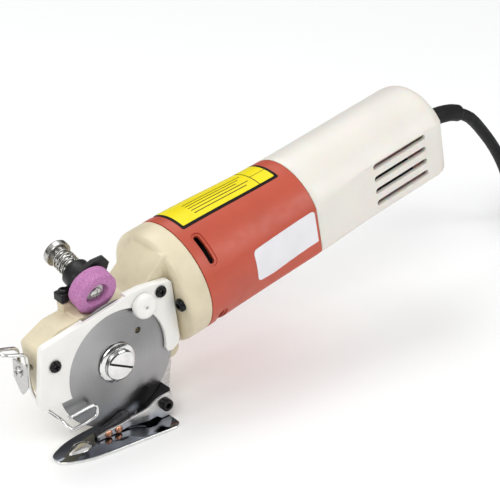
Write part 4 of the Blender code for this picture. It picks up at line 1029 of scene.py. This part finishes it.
def sharpener():
    barrel_profile = [
        (0, 10.2), (6.8, 10.2), (7.4, 10.5), (7.6, 11), (7.6, 19.2), (7.2, 19.8), (6.6, 20), (0, 20),
    ]
    barrel = solid(lathe(barrel_profile, 80), SHARP)
    clamp = rounded(
        [(-22.8, 36), (-12.6, 36), (-8, 38), (-8, 43), (-14, 41), (-22.8, 40.6)],
        [0.8, 0.5, 0, 0, 1, 0.8],
    )
    wing = [(-4, 0), (8, 2), (12.2, -3), (13, -8), (9.5, -12), (3, -11.5), (-4, -8)]
    arms = [prism([clamp], 11.3, 18.0, "XZ", BLADE, 0.4), prism([wing], 10.3, 13.2, "XY", SHARP, 0.3)]
    carve(barrel, arms, "UNION")
    cuts = [wheel_room(), rod(4.15, 0, 30, SHARP), hole((*CLAMP_SCREW, 34), (0, 0, 1), 1.6, 0, 14)]
    carve(barrel, cuts)
    piece(barrel, "sharpener_holder", "black_plastic", nodes=("sharpener_bracket",), smooth=35)
    rod_profile = [(0, 5.4), (2.4, 5.4), (2.4, 9.2), (3.6, 9.2), (3.9, 9.5), (3.9, 32.7), (0, 32.7)]
    piece(solid(lathe(rod_profile, 64), SHARP), "plunger_stem", "spring_steel", "plunger",
          nodes=("plunger_rod",), smooth=30)
    button = [
        (3.95, 31.5), (4.4, 31.5), (4.65, 31.7), (4.65, 33.0), (6.2, 33.0), (6.8, 33.15), (7.0, 33.5),
        (7.0, 36.1), (6.75, 36.6), (6.2, 36.8), (4.6, 36.8), (4.3, 36.5), (0, 36.4), (0, 32.8), (3.95, 32.8),
    ]
    piece(solid(lathe(button, 96), SHARP), "plunger_cap", "spring_steel", "plunger",
          nodes=("plunger_button",), smooth=25)
    coil = []
    for k in range(226):
        u = k / 225
        angle = math.tau * 4.25 * u
        rise = 20.9 + 11.4 * (u + 0.045 * math.sin(math.tau * u))
        coil.append(Vector((5.3 * math.cos(angle), 5.3 * math.sin(angle), rise)))
    spring = solid(sweep(coil, [0.5] * len(coil), 12), SHARP)
    piece(spring, "return_spring", "spring_steel", nodes=("plunger_spring",))
    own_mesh(spring)
    stone = [
        (2.8, 3.8), (5.5, 3.8), (5.9, 3.5), (6.05, 3.0), (6.2, 0.5), (6.5, 0.15), (7.0, 0), (10.3, 0),
        (11.0, 0.25), (11.45, 0.9), (11.5, 1.6), (11.5, 7.6), (11.35, 8.4), (10.9, 8.85), (10.2, 9), (2.8, 9),
    ]
    piece(solid(lathe(stone, 128, ring=True), SHARP), "grinding_stone", "pink_stone", "wheel",
          nodes=("grinding_wheel",))
    hub_profile = [
        (0, 0.9), (1.7, 0.9), (2.6, 1.1), (3.1, 1.6), (3.2, 2.4), (4.7, 2.4), (4.9, 2.6), (4.9, 3.5),
        (0, 3.5),
    ]
    hub = solid(lathe(hub_profile, 64), SHARP)
    cross = [(2.4, 0.4), (0.4, 2.4)]
    carve(hub, [block((-a, -b, 0), (a, b, 1.7), SHARP) for a, b in cross])
    piece(hub, "stone_screw", "satin_steel", "wheel", nodes=("wheel_screw",), smooth=35)


# ---- guard


GUARD_ROUTE = (
    (-33.6, -4.6, -16.8), (-20.0, -4.6, -15.4), (-16.6, -4.6, -16.6), (-15.8, -4.6, -19.2),
    (-16.6, -4.6, -21.8), (-20.0, -4.6, -22.9), (-28.6, -4.6, -24.3), (-31.2, -3.4, -24.2),
    (-33.4, 2.8, -20.6), (-41.0, 3.5, -11.6), (-44.6, 7.0, -4.5), (-46.6, 7.0, 4.0),
    (-47.0, 7.0, 16.4), (-48.2, 7.0, 19.4), (-51.0, 7.0, 20.6), (-57.2, 7.4, 22.4),
    (-59.6, 9.0, 23.0), (-60.2, 11.0, 23.1), (-59.6, 13.0, 23.0), (-57.2, 14.6, 22.4),
    (-51.0, 15.0, 20.6), (-48.2, 15.0, 19.4), (-47.0, 15.0, 16.4), (-46.6, 15.0, 6.0),
)


def guard():
    path = smooth_path(GUARD_ROUTE, 0.9)
    radii = [0.95] * len(path)
    for end in (0, -1):
        radii[end] = 0.6
    wire = solid(sweep(path, radii, 18), BLADE)
    piece(wire, "finger_guard_wire", "bright_steel", "guard", nodes=("finger_guard",), smooth=50)
    outline = rounded(
        [(4.4, 14.0), (4.4, 3.0), (9.6, -4.0), (16.5, 4.0), (16.5, 14.0)], [1, 1, 1.5, 1, 1]
    )
    clip = prism([outline], -49.5, -48.3, "YZ", BLADE, 0.3)
    carve(clip, [hole(CLIP_SCREW, (1, 0, 0), 1.6, -3, 5)])
    piece(clip, "guard_spring_clip", "satin_steel", nodes=("guard_clip",), smooth=35)


# ---- foot


def sole():
    half = [
        (-42.0, 1.7), (-41.0, 3.9), (-38.8, 5.6), (-36, 7.0), (-30, 9.4), (-20, 11.4),
        (-5, 12.8), (10, 14.0), (20.6, 14.9), (23.4, 14.3), (25.1, 12.7), (25.6, 10.2),
    ]
    knots = [(x, -4.5 + w, 0) for x, w in half] + [(x, -4.5 - w, 0) for x, w in reversed(half)]
    outline = [(p.x, p.y) for p in smooth_path(knots, 1.2, closed=True)]
    plate = prism([outline], -39.0, -37.3, "XY", BLADE, 0.35)
    piece(plate, "sole", "sole_chrome", nodes=("sole_plate",), smooth=25)
    plate.data.materials.append(PAINT["bright_steel"])
    for face in plate.data.polygons:
        if face.normal.z < 0.9:
            face.material_index = 1
    rings = []
    teardrop = [(-34.5, -5.4), (-31.5, -1.8), (-27.5, 0.6), (-23.5, 0.9), (-20.6, -1.4), (-20.2, -4.6),
                (-22.6, -7.4), (-27.0, -8.4), (-31.5, -7.4)]
    rim = [Vector((p.x, p.y)) for p in smooth_path([(x, y, 0) for x, y in teardrop], 0.6, closed=True)]
    middle = Vector((-26, -4))
    swell = (
        (1.0, -0.2), (1.0, 0.15), (0.985, 0.4), (0.95, 0.55), (0.9, 0.6), (0.8, 0.95), (0.65, 1.3),
        (0.48, 1.55), (0.3, 1.7), (0.12, 1.75),
    )
    for share, rise in swell:
        rings.append([(*(middle + (p - middle) * share), -37.5 + rise) for p in rim])
    piece(solid(loft(rings), BLADE), "sole_blister", "bright_steel", smooth=50)


def foot():
    stations = (
        (-16.5, -34.6, -37.1), (-10, -33.3, -37.1), (-3, -32.9, -37.0), (3, -32.0, -36.4),
        (8, -30.2, -35.9), (13, -27.6, -35.3), (17.4, -25.2, -34.8), (20.4, -24.4, -37.1),
        (27.3, -24.0, -37.1),
    )
    xs, tops, bottoms = (list(column) for column in zip(*stations))
    rings = []
    for x in [-16.5, -16.2, *np.arange(-15.5, 27, 0.75), 27.1, 27.3]:
        trim = 0.3 if x in (-16.5, 27.3) else 0.0
        top = float(np.interp(x, xs, tops)) - trim
        bottom = float(np.interp(x, xs, bottoms)) + trim
        front = -5.4 - 3.6 * ease((x - 2.0) / 12.0)
        low, high = front + trim * 0.5, front + 1.6 - trim * 0.5
        rings.append([(x, y, z) for y, z in rounded(box(low, bottom, high, top), 0.35, 3)])
    arm = solid(loft(rings), BLADE)
    cuts = [hole((ARM_SCREW[0], -9, ARM_SCREW[1]), (0, 1, 0), 2.2, -4, 4)]
    cuts += [hole((x, -5.4, RIVET_Z), (0, 1, 0), 1.5, -4, 4) for x in RIVETS]
    carve(arm, cuts)
    piece(arm, "side_arm", "satin_steel", nodes=("foot_arm",), smooth=35)
    knife = [(-15.8, -37.0), (3.6, -37.0), (4.4, -29.2), (0.6, -28.8), (-3.0, -30.2), (-15.8, -34.2)]
    strip = prism([rounded(knife, 0.4, 3)], -3.5, -0.3, "XZ", BLADE, 0.3)
    carve(strip, [hole((x, 0, RIVET_Z), (0, 1, 0), 1.5, -6, -1.2) for x in RIVETS])
    piece(strip, "lower_knife", "carbon", nodes=("counter_knife",), smooth=35)
    profile = [
        (0, -6.6), (0.9, -6.6), (1.5, -6.45), (1.95, -6.15), (2.1, -5.75), (1.2, -5.7), (1.2, -1.6),
        (0, -1.6),
    ]
    for k, x in enumerate(RIVETS):
        piece(turned(profile, 40, x, RIVET_Z), f"copper_rivet_{k + 1}", "copper", nodes=(f"rivet_{k + 1}",))
    spacer = [*arc((0, 0), 35.6, -40, -63, 24), (16.2, -37.1), (27.6, -37.1), (27.6, -22.9)]
    piece(prism([spacer], -7.0, 1.7, "XZ", BLADE, 0.4), "spacer", "black_plastic",
          nodes=("spacer_block",), smooth=35)
    leg = [(24.0, -15.0), (35.9, -12.9), (32.9, -37.1), (12.0, -37.1), (14.0, -31.0)]
    leg = rounded(leg, [2, 0.6, 0.6, 0.6, 4])
    piece(prism([leg], 2.0, 4.0, "XZ", BLADE, 0.35), "rear_leg", "satin_steel",
          nodes=("leg_plate",), smooth=35)
    arm_screw()


def arm_screw():
    profile = [
        (0, -12.6), (2.6, -12.6), (3.1, -12.4), (3.3, -11.9), (3.3, -9.3), (2.0, -9.3), (2.0, -7.6),
        (0, -7.6),
    ]
    seat = facing((ARM_SCREW[0], 0, ARM_SCREW[1]), (0, 1, 0), BLADE)
    obj = solid(lathe(profile, 72), seat)
    tools = [prism([arc((0, 0), 1.8, 0, 300, 6)], -14, -10.8, "XY", seat)]
    for k in range(18):
        a = math.tau * k / 18
        rim = Matrix.Translation((3.4 * math.cos(a), 3.4 * math.sin(a), 0))
        tools.append(rod(0.28, -12.1, -9.0, seat @ rim, 10))
    carve(obj, tools)
    piece(obj, "arm_cap_screw", "black_steel", nodes=("arm_screw",), smooth=35)


# ---- rest


def strain_relief():
    heights = ((216.6, 94.2), (230.0, 96.6), (241.0, 97.7), (250.0, 97.1), (255.0, 96.0), (259.0, 94.6))
    knots = [(x, 19, z) for x, z in heights]
    path = smooth_path(knots, 0.7)
    radii = [5.2 - 0.4 * k / len(path) for k in range(len(path))]
    radii[-1] -= 0.35
    sleeve = solid(sweep(path, radii, 40))
    piece(sleeve, "lead_sleeve", "black_rubber", nodes=("strain_relief",), smooth=40)


def slider():
    """A copy of the CAD's slider with its flat faces made whole and its edges rounded."""
    shape = bmesh.new()
    shape.from_mesh(NODES["switch_slider"].data)
    bmesh.ops.remove_doubles(shape, verts=shape.verts, dist=2e-6)
    flat = math.radians(0.5)
    bmesh.ops.dissolve_limit(shape, angle_limit=flat, verts=shape.verts, edges=shape.edges)
    copy = bpy.data.meshes.new("switch_slider")
    shape.to_mesh(copy)
    shape.free()
    thumb = added("switch_slider", copy)
    edges = thumb.modifiers.new("edges", "BEVEL")
    edges.width = 0.3 * MM
    edges.segments = 2
    edges.limit_method = "ANGLE"
    edges.angle_limit = math.radians(25)
    edges.use_clamp_overlap = True
    bake(thumb)
    piece(thumb, "switch_thumb", "black_plastic", "switch", nodes=("switch_slider",), smooth=35)


# ---- studio


def studio():
    floor = bpy.data.meshes.new("floor")
    floor.from_pydata([(-6, -6, 0), (6, -6, 0), (6, 6, 0), (-6, 6, 0)], [], [(0, 1, 2, 3)])
    ground = added("floor", floor)
    p = Paint("studio_floor", (0.96, 0.96, 0.96), 0.7)
    p.colours(p.noise(3, 2), (0.955, 0.96, 0.96), (0.965, 0.97, 0.97))
    floor.materials.append(p.material)
    for place, energy, size in (
        ((-0.9, -0.7, 1.3), 10.0, 0.9),
        ((0.9, -1.2, 0.9), 8.5, 0.8),
        ((0.2, 0.9, 1.5), 8.0, 1.0),
        ((-1.3, 0.3, 0.6), 4.0, 0.5),
    ):
        lamp = bpy.data.lights.new("softbox", "AREA")
        lamp.energy = energy
        lamp.size = size
        aim_at(added("softbox", lamp), place, (0.08, 0, 0.07))
    world = bpy.data.worlds.new("studio")
    bpy.context.scene.world = world
    world.use_nodes = True
    nodes, links = world.node_tree.nodes, world.node_tree.links
    back = nodes["Background"]
    where = nodes.new("ShaderNodeTexCoord")
    split = nodes.new("ShaderNodeSeparateXYZ")
    links.new(where.outputs["Generated"], split.inputs[0])
    ramp = nodes.new("ShaderNodeValToRGB")
    links.new(split.outputs["Z"], ramp.inputs["Fac"])
    band = ramp.color_ramp
    for place, shade in ((0.0, 0.12), (0.3, 0.06), (0.48, 0.35), (0.75, 1.0), (1.0, 1.25)):
        element = band.elements.new(place)
        element.color = (shade, shade, shade, 1)
    band.elements.remove(band.elements[0])
    band.elements.remove(band.elements[-1])
    links.new(ramp.outputs["Color"], back.inputs["Color"])
    back.inputs["Strength"].default_value = 0.75
    pale = nodes.new("ShaderNodeBackground")
    pale.inputs["Color"].default_value = (0.9, 0.9, 0.9, 1)
    blend = nodes.new("ShaderNodeMixShader")
    links.new(nodes.new("ShaderNodeLightPath").outputs["Is Camera Ray"], blend.inputs[0])
    links.new(back.outputs[0], blend.inputs[1])
    links.new(pale.outputs[0], blend.inputs[2])
    links.new(blend.outputs[0], nodes["World Output"].inputs["Surface"])
    bpy.context.scene.view_settings.view_transform = "Standard"


gearbox_housing()
gearbox_lid()
all_screws()
blade_cover()
cover_plug()
round_blade()
blade_clamp()
motor_casing()
rear_shell()
stickers()
sharpener()
guard()
sole()
foot()
strain_relief()
slider()
studio()
